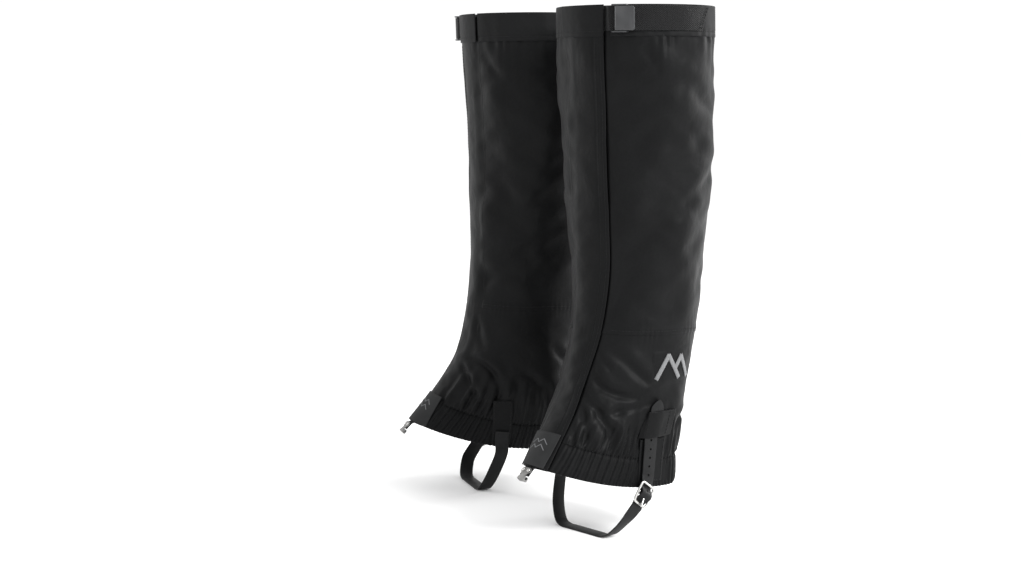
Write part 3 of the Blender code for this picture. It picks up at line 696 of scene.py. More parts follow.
def stitches(lines):
    """Return points and faces of stitches along lines of (points, normals)."""
    template, faces = stitch_template()
    all_points, all_faces, start = [], [], 0
    for points, normals in lines:
        step = np.linalg.norm(np.diff(points, axis=0), axis=1)
        length = np.concatenate(([0], np.cumsum(step)))
        count = max(int(length[-1] / STITCH_PITCH), 1)
        at = (np.arange(count) + 0.5) * length[-1] / count
        centre = np.stack([np.interp(at, length, points[:, k]) for k in range(3)], -1)
        normal = np.stack([np.interp(at, length, normals[:, k]) for k in range(3)], -1)
        ahead = np.stack([np.interp(at + 0.3, length, points[:, k]) for k in range(3)], -1)
        back = np.stack([np.interp(at - 0.3, length, points[:, k]) for k in range(3)], -1)
        x = ahead - back
        x /= np.linalg.norm(x, axis=1, keepdims=True)
        y = np.cross(normal, x)
        y /= np.linalg.norm(y, axis=1, keepdims=True)
        z = np.cross(x, y)
        centre = centre + z * 0.1
        basis = np.stack((x, y, z), 1)
        placed = centre[:, None] + np.einsum("pk,nkj->npj", template, basis)
        all_points.append(placed.reshape(-1, 3))
        for index in range(count):
            offset = start + index * len(template)
            all_faces += [[offset + i for i in face] for face in faces]
        start += count * len(template)
    return np.concatenate(all_points), all_faces


def skin_line(angles, levels, lift):
    """Return points and normals of a line on the sleeve. lift is a value or a function."""
    angles, levels = np.broadcast_arrays(np.asarray(angles, float), np.asarray(levels, float))
    height = lift(angles, levels) if callable(lift) else lift
    base, normal = skin_point(angles, levels), skin_normal(angles, levels)
    return base + normal * np.broadcast_to(height, angles.shape)[..., None], normal


# ---------------------------------------------------------------- sleeve

def panel_columns(count, by_length=False):
    """Return a function that gives a level's angles, from the underlap round to the fold."""
    def columns(level):
        start = angle_at(fold_at(level) + 6.0, level)
        free = angle_at(free_at(level), level)
        fold = angle_at(fold_at(level), level) + 2 * np.pi
        under = np.linspace(start, free - 0.01, 8)
        ramp = np.linspace(free, free + 0.16, 14)
        rest = np.linspace(free + 0.16, fold - 0.03, count)[1:]
        if by_length:
            ends = evened(free + 0.16), evened(fold - 0.03)
            rest = evened(np.linspace(*ends, count)[1:], back=True)
        lip = np.linspace(fold - 0.03, fold + 5.5 / AROUND, 8)[1:]
        return with_edges(np.concatenate((under, ramp, rest, lip)), 0.004)
    return columns


def add_sleeve(leg):
    hem = sleeve_piece("gathered_hem", leg, with_edges(np.linspace(0.0, 1.0, 30), 0.01),
                       panel_columns(540, True), leg.panel_lift, 0.9, HEM_NYLON)
    lower = sleeve_piece("ankle_panel", leg, np.linspace(1.0, SEAM + 0.03, 96),
                         panel_columns(440, True), leg.panel_lift, FABRIC, NYLON)

    def lapped(angle, level):
        step = 0.55 * (1 - smooth(level, SEAM + 0.06, SEAM + 0.16))
        under_band = smooth(level, BAND + 0.02, BAND + 0.12)
        lift = leg.panel_lift(angle, level) + step
        return lift + (np.minimum(lift, -0.1) - lift) * under_band

    upper_levels = np.concatenate((np.linspace(SEAM - 0.02, SEAM + 0.5, 22),
                                   np.linspace(SEAM + 0.5, 8.8, 92)[1:],
                                   np.linspace(8.8, 9.5, 28)[1:],
                                   np.linspace(9.5, 9.96, 5)[1:]))
    upper = sleeve_piece("calf_panel", leg, with_edges(upper_levels, 0.004),
                         panel_columns(290), lapped, FABRIC, NYLON)

    def band_columns(level):
        start = angle_at(free_at(level) + 6.0, level)
        end = angle_at(fold_at(level) - 0.5, level) + 2 * np.pi
        return with_edges(np.linspace(start, end, 300), 0.006)

    def band_lift(angle, level):
        edge = np.exp(-(level - BAND) / 0.05) + np.exp(-(RIM - level) / 0.03)
        wave = 0.25 * np.cos(9 * angle + leg.turn) + 0.18 * np.cos(21 * angle + 2 * leg.turn)
        pucker = 0.22 * np.cos(43 * angle) * np.exp(-(level - BAND) / 0.12)
        groove = -0.35 * np.exp(-((level - BAND - BAND_STITCH) / 0.018) ** 2)
        return BAND_OUT - 0.25 * edge + wave * (1 - smooth(level, 9.8, 10)) + pucker + groove

    band = sleeve_piece("rim_band", leg, with_edges(np.linspace(BAND, RIM, 30), 0.006),
                        band_columns, band_lift, BAND_THICK, BAND_NYLON)

    lines = [seam_line(SEAM + 0.05, lapped), seam_line(HEM_TOP + 0.01, leg.panel_lift),
             seam_line(BAND + BAND_STITCH, band_lift, 6.0)]
    points, faces = stitches(lines)
    thread = make_object("sleeve_stitching", leg, points, faces, THREAD)
    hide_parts("ankle_hem_" + leg.name)
    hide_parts("lower_panel_" + leg.name)
    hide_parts("upper_panel_" + leg.name)
    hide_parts("top_band_" + leg.name)
    for piece in (hem, lower, upper, band, thread):
        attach(piece, "gaiters")


def seam_line(level, lift, start_past=8.0):
    """A line of stitches round the sleeve at a level, from the flap's edge to its fold."""
    start = angle_at(free_at(level) + start_past, level)
    end = angle_at(fold_at(level), level) + 2 * np.pi - 0.02
    return skin_line(np.linspace(start, end, 900), level, lift)


# ---------------------------------------------------------------- flap

# Dents of the flap: along, across, phase, size
FLAP_DENTS = (
    (3.1, 5.0, 0.0, 0.42), (5.7, -4.0, 1.2, 0.36), (8.3, 7.0, 2.9, 0.26), (11.9, -9.0, 0.6, 0.18),
    (17.0, 6.0, 4.0, 0.10),
)


def flap_lift(leg):
    def lift(angle, level):
        fold, free = angle_at(fold_at(level), level), angle_at(free_at(level), level)
        share = np.clip((angle - fold) / (free - fold), 0, 1)
        relief = leg.relief(angle, level)
        rise = 0.03 + relief + (FLAP_OUT - 0.03 - relief) * smooth(share, 0.0, 0.3)
        soft = leg.relief(angle, np.maximum(level, 2.4)) * (0.35 + 0.65 * (1 - share) ** 2)
        soft = np.clip(soft, -0.9, 1.6)
        edge = smooth(share, 0.75, 1.0) * (0.25 + 0.35 * np.cos(2.7 * level + leg.turn))
        dent = 0.0
        for along, across, phase, size in FLAP_DENTS:
            dent = dent + size * np.cos(along * level + across * share + phase + 2 * leg.turn)
        ankle = smooth(level, 1.2, 1.7) * (1 - smooth(level, SEAM - 0.3, SEAM + 1.0))
        dent = dent * (0.22 + 0.78 * ankle) * np.sin(np.pi * share)
        hold = smooth(level, 1.25, 1.6) * (1 - smooth(level, BAND - 0.4, BAND))
        crease = -0.3 * np.exp(-((level - SEAM) / 0.03) ** 2)
        stitch = -0.22 * np.exp(-(((1 - share) * (free - fold) * AROUND - 3.0) / 0.7) ** 2)
        stitch += -0.22 * np.exp(-(((1 - share) * (free - fold) * AROUND - 8.5) / 0.7) ** 2)
        return rise + (soft * 0.6 + dent) * hold * smooth(share, 0.1, 0.4) + edge + crease + stitch
    return lift


def flap_columns(level):
    start = angle_at(fold_at(level) - 0.8, level)
    end = angle_at(free_at(level), level)
    return with_edges(np.linspace(start, end, 56), 0.008)


def blend_flap(piece, leg):
    """Bake the piece's placement into its mesh."""
    x, y = leg.place((0.0, -66.0, 0.0))[:2]
    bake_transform(piece)


def add_flap(leg):
    lift = flap_lift(leg)
    flap_levels = np.concatenate((np.linspace(0.0, SEAM, 80), np.linspace(SEAM, 9.9, 150)[1:]))
    flap = sleeve_piece("front_flap", leg, with_edges(flap_levels, 0.01), flap_columns, lift,
                        FLAP_THICK, NYLON, (1, 1, 0, 1))
    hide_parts("shin_flap_" + leg.name, "instep_flap_" + leg.name)

    def band_columns(level):
        start = angle_at(fold_at(level) + 1.0, level)
        end = angle_at(free_at(level) - 0.2, level)
        return with_edges(np.linspace(start, end, 40), 0.008)

    def band_lift(angle, level):
        groove = -0.3 * np.exp(-((level - BAND - BAND_STITCH) / 0.018) ** 2)
        wave = 0.12 * np.cos(14 * angle + leg.turn)
        return FLAP_BAND_OUT + groove + wave - 0.2 * np.exp(-(RIM - level) / 0.03)

    band = sleeve_piece("flap_rim_band", leg, with_edges(np.linspace(BAND, RIM, 28), 0.006),
                        band_columns, band_lift, FLAP_BAND_THICK, BAND_NYLON)
    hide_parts("flap_band_" + leg.name)
    hooks = tape_piece(leg, "hook_tape", 0.1, 0.7)
    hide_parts("flap_hook_tape_" + leg.name)
    loops = tape_piece(leg, "loop_tape", -1.2, 0.7)
    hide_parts("front_loop_tape_" + leg.name)

    lines = []
    rows = np.linspace(1.3, 9.3, 500)
    for inset in (3.0, 8.5):
        angles = angle_at(free_at(rows) - inset, rows)
        lines.append(skin_line(angles, rows, lift))
    across = np.linspace(-24.0, 24.0, 60)
    level = BAND + BAND_STITCH
    angles = angle_at(across, np.full(across.shape, level))
    lines.append(skin_line(angles, level, band_lift))
    points, faces = stitches(lines)
    thread = make_object("flap_stitching", leg, points, faces, THREAD)
    for piece in (flap, band, hooks, thread):
        blend_flap(piece, leg)
    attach(loops, "gaiters")


def tape_piece(leg, name, lift, thick):
    def columns(level):
        edge = free_at(level) - 3.0
        start, end = angle_at(edge - 18.0, level), angle_at(edge, level)
        return with_edges(np.linspace(start, end, 12), 0.006)

    return sleeve_piece(name, leg, with_edges(np.linspace(4.3, 9.2, 90), 0.01), columns,
                        lambda angle, level: np.full(angle.shape, float(lift)), thick, PILE)


# ---------------------------------------------------------------- patches on the flanks

def flank_grid(ahead, height, lift, flank=1):
    """Return points on a flank, over the relief of the sleeve, and their normals."""
    angle, level = on_side(ahead, height, flank)
    normal = skin_normal(angle, level)
    return skin_point(angle, level) + normal * np.asarray(lift)[..., None], normal


def flank_piece(name, leg, ahead, height, lift, thick, finish, flank=1):
    """A closed patch on a flank from grids of distances ahead, heights and lifts."""
    lift, depth = rounded(lift, np.full(lift.shape, float(thick)))
    outer, _ = flank_grid(ahead, height, lift, flank)
    inner, _ = flank_grid(ahead, height, lift - depth, flank)
    if flank > 0:
        outer, inner, ahead, height = (grid[:, ::-1] for grid in (outer, inner, ahead, height))
    uv = np.stack((ahead, height), -1)
    if rows_face_inwards(outer, inner):
        outer, inner, uv = outer[:, ::-1], inner[:, ::-1], uv[:, ::-1]
    return make_shell(name, leg, outer, inner, finish, uv)


def rows_face_inwards(outer, inner):
    """Tell if a grid's own faces point from the outer to the inner layer."""
    i, j = outer.shape[0] // 2, outer.shape[1] // 2
    face = np.cross(outer[i, j + 1] - outer[i, j], outer[i + 1, j] - outer[i, j])
    return float(np.dot(face, outer[i, j] - inner[i, j])) < 0


def patch_grid(front, back, low, high, columns, rows):
    """Return the grids of distances ahead and heights of a four-sided patch."""
    heights = with_edges(np.linspace(low, high, rows), 0.15)
    spots = with_edges(np.linspace(0, 1, columns), 0.01)
    return np.broadcast_arrays(front + (back - front) * spots, heights[:, None])


def border_lines(front, back, low, high, flank=1):
    """Return stitch lines inside a patch's border: front, back, bottom and top."""
    lines, count = [], 60
    inset, lift = PATCH_STITCH_INSET, np.full(count, PATCH_OUT)
    heights = np.linspace(low + inset, high - inset, count)
    for edge in (front - inset, back + inset):
        lines.append(flank_grid(np.full(count, edge), heights, lift, flank))
    for height in (low + inset, high - inset):
        ahead = np.linspace(front - inset, back + inset, count)
        lines.append(flank_grid(ahead, np.full(count, height), lift, flank))
    return lines


def tail_ahead(height):
    """How far ahead of the leg's axis the boot strap's tail runs at a height."""
    return float(np.interp(height, (52, 60, 94, 130), (30, 28.5, 28, 20)))


def add_patches(leg):
    ahead, height = patch_grid(*BACKING_SIDES, 14, 20)
    backing = flank_piece("backing_patch", leg, ahead, height, np.full(ahead.shape, PATCH_OUT),
                          PATCH_THICK, NYLON)
    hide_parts("strap_backing_patch_" + leg.name)

    ahead, height = patch_grid(*ANCHOR_SIDES, 12, 24)
    anchor = flank_piece("anchor_patch", leg, ahead, height, np.full(ahead.shape, PATCH_OUT),
                         PATCH_THICK, NYLON, flank=-1)
    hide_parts("strap_anchor_patch_" + leg.name)
    points, faces = stitches(border_lines(*BACKING_SIDES) + border_lines(*ANCHOR_SIDES, -1))
    thread = make_object("patch_stitching", leg, points, faces, THREAD)
    keeper, keeper_thread = add_keeper(leg)
    for piece in (backing, anchor, thread, keeper, keeper_thread):
        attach(piece, "gaiters")


def add_keeper(leg):
    """The keeper: a patch sewn down at its edges that bridges the boot strap's tail."""
    heights = with_edges(np.linspace(94, 118, 26), 0.15)
    spots = with_edges(np.linspace(0, 5, 46), 0.03)
    ahead, lift = [], []
    for height in heights:
        front = float(np.interp(height, (94, 102, 110, 118), (40, 38.5, 34.5, 31)))
        middle = tail_ahead(height)
        across = (front, middle + 8.6, middle + 3, middle - 3, middle - 9.5, middle - 24)
        rise = float(np.interp(height, (94, 104, 112, 118), (4.9, 4.4, 4.2, 4.2)))
        ahead.append(np.interp(spots, range(6), across))
        bump = (0.95, rise - 1.0, rise, rise, rise - 1.2, 0.95)
        lift.append(between(np.array(bump)[:, None], spots)[:, 0])
    ahead, lift = np.array(ahead), np.array(lift)
    height = np.broadcast_to(heights[:, None], ahead.shape)
    keeper = flank_piece("strap_keeper_patch", leg, ahead, height, lift, 0.6, NYLON)
    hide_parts("strap_keeper_" + leg.name)
    lines = []
    rows = np.linspace(95, 117, 40)
    for spot in (1.2, 4.4):
        index = int(np.argmin(abs(spots - spot)))
        across = np.interp(rows, heights, ahead[:, index])
        rise = np.interp(rows, heights, lift[:, index])
        lines.append(flank_grid(across, rows, rise + 0.05))
    points, faces = stitches(lines)
    return keeper, make_object("keeper_stitching", leg, points, faces, THREAD)


# ---------------------------------------------------------------- embroidered mark and label

# A generic mark of two peaks: strokes of (ahead, height) corners, and the stroke's half width
MARK_STROKES = (
    ((23.0, 148.0), (10.0, 169.5), (-3.0, 148.0)),
    ((2.0, 156.5), (-6.0, 168.0), (-16.0, 148.0)),
)
MARK_HALF_WIDTH = 2.1


def stroke(start, end):
    """One satin-stitched bar between two corners, with a crowned face of fine threads."""
    start, end = np.array(start, float), np.array(end, float)
    way = (end - start) / np.linalg.norm(end - start)
    side = np.array((-way[1], way[0]))
    length = np.linalg.norm(end - start)
    along = np.linspace(-MARK_HALF_WIDTH * 0.4, length + MARK_HALF_WIDTH * 0.4, 140)
    across = np.linspace(-1, 1, 11)
    grid = start + along[:, None, None] * way + across[:, None] * MARK_HALF_WIDTH * side
    crown = 0.25 + 0.75 * np.sqrt(np.clip(1 - across ** 2, 0, 1))
    threads = 0.06 * np.cos(2 * np.pi * along / 0.75)
    ends = np.clip(np.minimum(along - along[0], along[-1] - along) / 0.6, 0.2, 1)
    lift = 0.35 + (0.75 * crown[None] + threads[:, None]) * ends[:, None]
    outer, _ = flank_grid(grid[..., 0], grid[..., 1], lift)
    inner, _ = flank_grid(grid[..., 0], grid[..., 1], np.full(lift.shape, 0.1))
    if rows_face_inwards(outer, inner):
        outer, inner = outer[:, ::-1], inner[:, ::-1]
    points, faces, _ = closed_grid(outer, inner)
    return points, faces


def add_mark(leg):
    parts = []
    for corners in MARK_STROKES:
        parts += [stroke(a, b) for a, b in zip(corners, corners[1:])]
    points, faces = joined(parts)
    mark = make_object("peak_mark", leg, points, faces, GREY_THREAD, points[:, 1:])
    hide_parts("embroidered_mark_" + leg.name)
    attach(mark, "gaiters")


# The label: its two edges as angle_at takes them, its upper edge in levels, how far it stands out
LABEL_EDGES = (-19.5, 13.0)
LABEL_TOP = 1.2
LABEL_OUT = 2.75


def label_ends(level):
    """Return the angles of the label's two edges at a level."""
    return [angle_at(edge, level) for edge in LABEL_EDGES]


def add_label(leg):
    """The moulded label: a raised border and, in place of lettering, two ridge lines."""
    levels = with_edges(np.linspace(0.02, LABEL_TOP, 50), 0.006)

    def columns(level):
        return with_edges(np.linspace(*label_ends(level), 44), 0.006)

    def lift(angle, level):
        start, end = label_ends(level)
        share = (angle - start) / (end - start)
        border = np.minimum(np.minimum(share, 1 - share) * 32,
                            np.minimum(level, LABEL_TOP - level) * 28)
        return LABEL_OUT + 0.22 * (1 - smooth(border, 1.0, 1.8))

    label = sleeve_piece("moulded_label", leg, levels, columns, lift, 0.75, RUBBER)
    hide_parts("flap_label_" + leg.name)
    ridges = []
    for base in (0.62, 0.80):
        corners = ((0.22, 0.0), (0.36, 0.13), (0.47, 0.03), (0.60, 0.15), (0.78, 0.0))
        line = np.array([(a, base + b) for a, b in corners])
        spots = np.concatenate([np.linspace(k, k + 1, 12, endpoint=False) for k in range(4)]
                               + [[4]])
        share = np.interp(spots, range(5), line[:, 0])
        level = np.interp(spots, range(5), line[:, 1])
        start, end = label_ends(level)
        points, normals = skin_line(start + (end - start) * share, level, LABEL_OUT)
        ridges.append(tube_grid(points, 0.5, 8, plane=normals.mean(0), flat=0.6))
    points, faces = joined(ridges)
    motif = make_object("label_ridges", leg, points, [f[::-1] for f in faces], MOTIF)
    for piece in (label, motif):
        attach(piece, "gaiters")


# ---------------------------------------------------------------- top strap

# The slanted end of the top strap: its angle at the rim, how far it has fallen back at the level
# that follows, and millimetres to a radian there
WEBBING_END = math.radians(106)
WEBBING_SLANT = math.radians(10)
SLANT_LEVEL = 9.5
MM_PER_RADIAN = 77.0


def webbing_slant(level):
    """Return how far the slanted end of the top strap falls back at a level."""
    return WEBBING_SLANT * (RIM - level) / (RIM - SLANT_LEVEL)


def add_webbing(leg):
    """The ribbed top strap: out from under the flap, through the buckle and back on the band."""
    low = float(level_at(0.0, WEBBING_HEIGHT - WEBBING_WIDTH / 2))
    high = float(level_at(0.0, WEBBING_HEIGHT + WEBBING_WIDTH / 2))
    ribs = 13

    def path(level):
        start = float(angle_at(-16.0, level))
        emerge = float(angle_at(free_at(level) + 0.5, level))
        near, far = (BUCKLE_ANGLE + math.radians(a) for a in (-8.2, 8.2))
        tail = BUCKLE_ANGLE + math.radians(13)
        return ((start, -0.65), (emerge, -0.65), (near, 4.4), (far, 4.4), (tail, 2.9),
                (WEBBING_END - webbing_slant(level), 2.9))

    def columns(level):
        stops = [angle for angle, _ in path(level)]
        counts = (10, 8, 14, 8, 90)
        spans = [np.linspace(a, b, n, endpoint=False) for a, b, n in zip(stops, stops[1:], counts)]
        return with_edges(np.concatenate(spans + [[stops[-1]]]), 0.004)

    def lift(angle, level):
        rise = np.empty(angle.shape)
        for i in range(angle.shape[0]):
            stops = path(float(level[i, 0]))
            rise[i] = np.interp(angle[i], [s[0] for s in stops], [s[1] for s in stops])
        across = (level - low) / (high - low)
        rib = 0.22 * np.abs(np.sin(np.pi * ribs * across))
        return rise - 0.15 + rib

    strap = sleeve_piece("cinch_strap", leg, np.linspace(low, high, 92), columns, lift, 0.9,
                         WEBBING)
    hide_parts("cinch_webbing_" + leg.name)
    rows = np.linspace(low + 0.02, high - 0.02, 40)
    lines = []
    for back in (2.5, 5.5):
        angles = WEBBING_END - webbing_slant(rows) - back / MM_PER_RADIAN
        lines.append(skin_line(angles, rows, 3.0))
    points, faces = stitches(lines)
    thread = make_object("strap_end_stitching", leg, points, faces, THREAD)
    for piece in (strap, thread):
        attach(piece, "gaiters")


# ---------------------------------------------------------------- boot strap and buckle

def frame_axes(origin, x, y, z):
    made = Matrix((x, y, z)).transposed().to_4x4()
    made.translation = origin
    return made


def buckle_frame():
    """Frame of the strap buckle: X along its bars, Y up along the strap, Z outwards."""
    up = Vector((0, math.sin(FRAME_TILT), math.cos(FRAME_TILT)))
    out = Vector((1, 0, 0))
    return frame_axes(FRAME_CENTRE, up.cross(out), up, out)


def in_frame(matrix, x, y, z):
    """Return a point of a frame, all in millimetres."""
    point = matrix @ (Vector((x, y, z)) * MM)
    return tuple(value / MM for value in point)


def weave(along):
    """The strap's offset from the buckle's plane: behind both end bars, over the centre bar."""
    behind, over = -2.4, 3.45
    if abs(along) > 9:
        return behind
    return behind + (over - behind) * math.cos(math.pi * along / 18) ** 2


def on_flank(height, lift, flank=1):
    """Return a point of a path up a flank, and the level direction along the flank there."""
    ahead = tail_ahead(height) if flank > 0 else STRAP_SEWN_AHEAD
    angle, level = on_side(ahead, height, flank)
    normal = skin_normal(angle, level)
    point = skin_point(angle, level) + normal * lift
    return tuple(point), (normal[1] * flank, -normal[0] * flank, 0.0)


def strap_path():
    """The boot strap's centre line, from the medial anchor, under the boot and up to its tip."""
    ahead = (0, -1, 0)
    bars = tuple(-buckle_frame().col[0].xyz)
    path = [on_flank(h, 2.4, -1) for h in (66, 56)]
    lower = ((-50.5, 48, 42), (-46.5, 54, 24), (-41, 58, 12), (-34, 61, 3.6), (-26, 62, 0.78))
    path += [((x, -y, z), ahead) for x, y, z in lower]
    path += [((x, -STRAP_FRONT, STRAP_THICK / 2), ahead) for x in (-18, 0, 18)]
    rise = ((26, 62, 0.78), (35, 61, 3.6), (43, 58, 11), (48.5, 54, 19))
    path += [((x, -y, z), ahead) for x, y, z in rise]
    for s in (-14, -11, -9, -7, -5, -3, -1, 1, 3, 5, 7, 9, 11):
        path.append((in_frame(buckle_frame(), 0, s, weave(s)), bars))
    heights = (58, 62, 66, 76, 86, 94, 102, 110, 118, 124, 129)
    lifts = (3.6, 3.6, 3.6, 3.6, 3.4, 2.8, 2.3, 2.1, 2.1, 2.4, 2.8)
    for height, lift in zip(heights, lifts):
        path.append(on_flank(height, lift))
    return path


def tab_path():
    """The tab that holds the buckle: down behind the strap and round the centre bar."""
    bars = tuple(-buckle_frame().col[0].xyz)
    path = [on_flank(h, 1.85) for h in (92, 80, 70, 62)]
    for s, n in ((13, -4.9), (8, -3.9), (4, -3.1)):
        path.append((in_frame(buckle_frame(), 0, s, n), bars))
    loop = 1.0 + 0.35 + TAB_THICK / 2
    for k in range(9):
        turn = math.radians(270 - 22.5 * k)
        path.append((in_frame(buckle_frame(), 0, loop * math.cos(turn), loop * math.sin(turn)),
                     bars))
    path.append((in_frame(buckle_frame(), 0, 0.4, loop), bars))
    return path


class Ribbon:
    """Takes flat coordinates (along, across, out) to a strap's smooth path."""

    def __init__(self, path):
        points = np.array([p for p, _ in path], float)
        across = np.array([a for _, a in path], float)
        spots = np.linspace(0, len(path) - 1, 16 * len(path))
        self.points = between(points, spots)
        step = np.linalg.norm(np.diff(self.points, axis=0), axis=1)
        self.length = np.concatenate(([0], np.cumsum(step)))
        along = np.gradient(self.points, axis=0)
        along /= np.linalg.norm(along, axis=1, keepdims=True)
        across = np.stack([np.interp(spots, range(len(path)), across[:, k]) for k in range(3)], -1)
        across -= along * (across * along).sum(1, keepdims=True)
        self.across = across / np.linalg.norm(across, axis=1, keepdims=True)
        self.out = np.cross(along, self.across)

    def at(self, flat):
        """Return the points of flat coordinates."""
        def read(table):
            return np.stack([np.interp(flat[:, 0], self.length, table[:, k]) for k in range(3)],
                            -1)

        return (read(self.points) + read(self.across) * flat[:, 1:2]
                + read(self.out) * flat[:, 2:3])


def strap_slab(length, holes):
    """A flat strap with round edges, a pointed tip and punched holes: points, faces."""
    half, thick = STRAP_WIDTH / 2, STRAP_THICK / 2
    along = np.arange(0, length + 0.1, 1.2)
    along = along * length / along[-1]
    section = ((-half, 0), (-half + 0.25, thick * 0.8), (-half + 0.7, thick), (0, thick * 1.06),
               (half - 0.7, thick), (half - 0.25, thick * 0.8), (half, 0),
               (half - 0.25, -thick * 0.8), (half - 0.7, -thick), (0, -thick),
               (-half + 0.7, -thick), (-half + 0.25, -thick * 0.8))
    points, faces, sides = [], [], len(section)
    for spot in along:
        left = length - spot
        point = 1.0 if left > 9 else 0.12 + 0.88 * math.sin(math.pi / 2 * max(left, 0) / 9)
        points += [(spot, y * point, z) for y, z in section]
    for i in range(len(along) - 1):
        for k in range(sides):
            j = (k + 1) % sides
            a, b = i * sides, (i + 1) * sides
            faces.append((a + k, b + k, b + j, a + j))
    faces.append(tuple(range(sides)))
    faces.append(tuple(range((len(along) - 1) * sides, len(along) * sides))[::-1])
    return bored(np.array(points), faces, holes)


def bored(points, faces, holes):
    """Cut round holes through a flat strap and return the new points and faces."""
    slab = plain_object("slab", points, faces)
    drills, sides = [], 20
    for centre in holes:
        turns = 2 * np.pi * np.arange(sides) / sides
        ring = np.stack((centre + HOLE_RADIUS * np.cos(turns), HOLE_RADIUS * np.sin(turns)), -1)
        low = np.column_stack((ring, np.full(sides, -3.0)))
        high = np.column_stack((ring, np.full(sides, 3.0)))
        walls = [(k, (k + 1) % sides, sides + (k + 1) % sides, sides + k) for k in range(sides)]
        caps = [tuple(range(sides))[::-1], tuple(range(sides, 2 * sides))]
        drills.append((np.concatenate((low, high)), walls + caps))
    drill = plain_object("drill", *joined(drills))
    cut = slab.modifiers.new("holes", "BOOLEAN")
    cut.object = drill
    cut.operation = "DIFFERENCE"
    cut.solver = "EXACT"
    bpy.context.view_layer.update()
    evaluated = slab.evaluated_get(bpy.context.evaluated_depsgraph_get())
    mesh = evaluated.to_mesh()
    new_points = np.array([v.co for v in mesh.vertices], float)
    new_faces = [list(p.vertices) for p in mesh.polygons]
    evaluated.to_mesh_clear()
    for item in (slab, drill):
        bpy.data.objects.remove(item, do_unlink=True)
    return new_points, new_faces


def plain_object(name, points, faces):
    data = bpy.data.meshes.new(name)
    data.from_pydata(np.asarray(points).tolist(), [], faces)
    made = bpy.data.objects.new(name, data)
    bpy.context.scene.collection.objects.link(made)
    return made


def add_strap(leg):
    ribbon = Ribbon(strap_path())
    total = ribbon.length[-1]
    holes = [total - FIRST_HOLE - HOLE_PITCH * k for k in range(9)]
    points, faces = strap_slab(total, holes)
    placed = ribbon.at(points)
    strap = make_object("boot_strap", leg, placed, faces, STRAP)
    strap.data.set_sharp_from_angle(angle=math.radians(40))
    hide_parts("instep_strap_" + leg.name)
    tab_ribbon = Ribbon(tab_path())
    along = np.arange(0, tab_ribbon.length[-1], 0.7)
    across = with_edges(np.linspace(-TAB_WIDTH / 2, TAB_WIDTH / 2, 28), 0.2)
    grid_s, grid_a = np.meshgrid(along, across, indexing="ij")
    rib = 0.1 * np.abs(np.sin(np.pi * 7 * (grid_a / TAB_WIDTH)))
    top = np.stack((grid_s, grid_a, TAB_THICK / 2 - 0.1 + rib), -1).reshape(-1, 3)
    low = np.stack((grid_s, grid_a, np.full(grid_s.shape, -TAB_THICK / 2)), -1).reshape(-1, 3)
    outer = tab_ribbon.at(top).reshape(*grid_s.shape, 3)
    inner = tab_ribbon.at(low).reshape(*grid_s.shape, 3)
    if rows_face_inwards(outer, inner):
        outer, inner = outer[:, ::-1], inner[:, ::-1]
    uv = np.stack((grid_a, grid_s), -1)
    tab = make_shell("buckle_webbing_tab", leg, outer, inner, WEBBING, uv)
    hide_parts("buckle_tab_" + leg.name)
    for piece, slot in ((strap, "coated_strap"), (tab, "black_webbing")):
        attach(piece, "gaiters")


def rounded_rectangle(half_width, half_height, corner, steps):
    points = []
    for x, y, start in ((1, 1, 0), (-1, 1, 90), (-1, -1, 180), (1, -1, 270)):
        for k in range(steps + 1):
            a = math.radians(start + 90 * k / steps)
            points.append((x * (half_width - corner) + corner * math.cos(a),
                           y * (half_height - corner) + corner * math.sin(a)))
    return points


def add_buckle(leg):
    matrix = buckle_frame()
    out = tuple(matrix.col[2].xyz)
    loop = rounded_rectangle(FRAME_HALF_WIDTH, FRAME_HALF_HEIGHT, FRAME_CORNER, 8)
    ring = tube_grid([in_frame(matrix, x, y, 0) for x, y in loop], FRAME_WIRE, 20, True, 0.9, out)
    bar_path = [in_frame(matrix, x, 0, 0)
                for x in np.linspace(-FRAME_HALF_WIDTH, FRAME_HALF_WIDTH, 9)]
    bar = tube_grid(bar_path, 1.0, 20, plane=out)
    points, faces = joined((ring, bar))
    wire = make_object("buckle_wire_frame", leg, points, [f[::-1] for f in faces], NICKEL)
    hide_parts("strap_buckle_frame_" + leg.name)
    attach(wire, "gaiters")
    prong_path = fine_path([(0, -1.5, 0.9), (0, -4.0, 1.5), (0, -7.5, 2.2), (0, -10.0, 2.55),
                            (0, -12.2, 2.5)], 6)
    size = np.full(len(prong_path), 1.0)
    size[-3:] = (0.9, 0.7, 0.3)
    rod = tube_grid([in_frame(matrix, *p) for p in prong_path], size, 16,
                    plane=tuple(matrix.col[0].xyz))
    eye_path = [in_frame(matrix, 0, 1.75 * math.cos(a), 1.75 * math.sin(a))
                for a in np.linspace(0, 2 * np.pi, 24, endpoint=False)]
    eye = tube_grid(eye_path, 0.5, 12, True, 2.0, tuple(matrix.col[0].xyz))
    points, faces = joined((rod, eye))
    prong = make_object("buckle_prong", leg, points, [f[::-1] for f in faces], NICKEL)
    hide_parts("strap_buckle_prong_" + leg.name)
    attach(prong, "prong_" + leg.name)


# ---------------------------------------------------------------- lace hook and cam buckle

def hook_frame():
    """Frame of the lace hook: X medial, Y forwards and down along it, Z outwards."""
    ahead = Vector((0, -0.72, -0.694)).normalized()
    side = Vector((-1, 0, 0))
    point = skin_point(0.0, 0.0) + skin_normal(0.0, 0.0) * -1.0
    return frame_axes(Vector(point) * MM, side, ahead, side.cross(ahead))


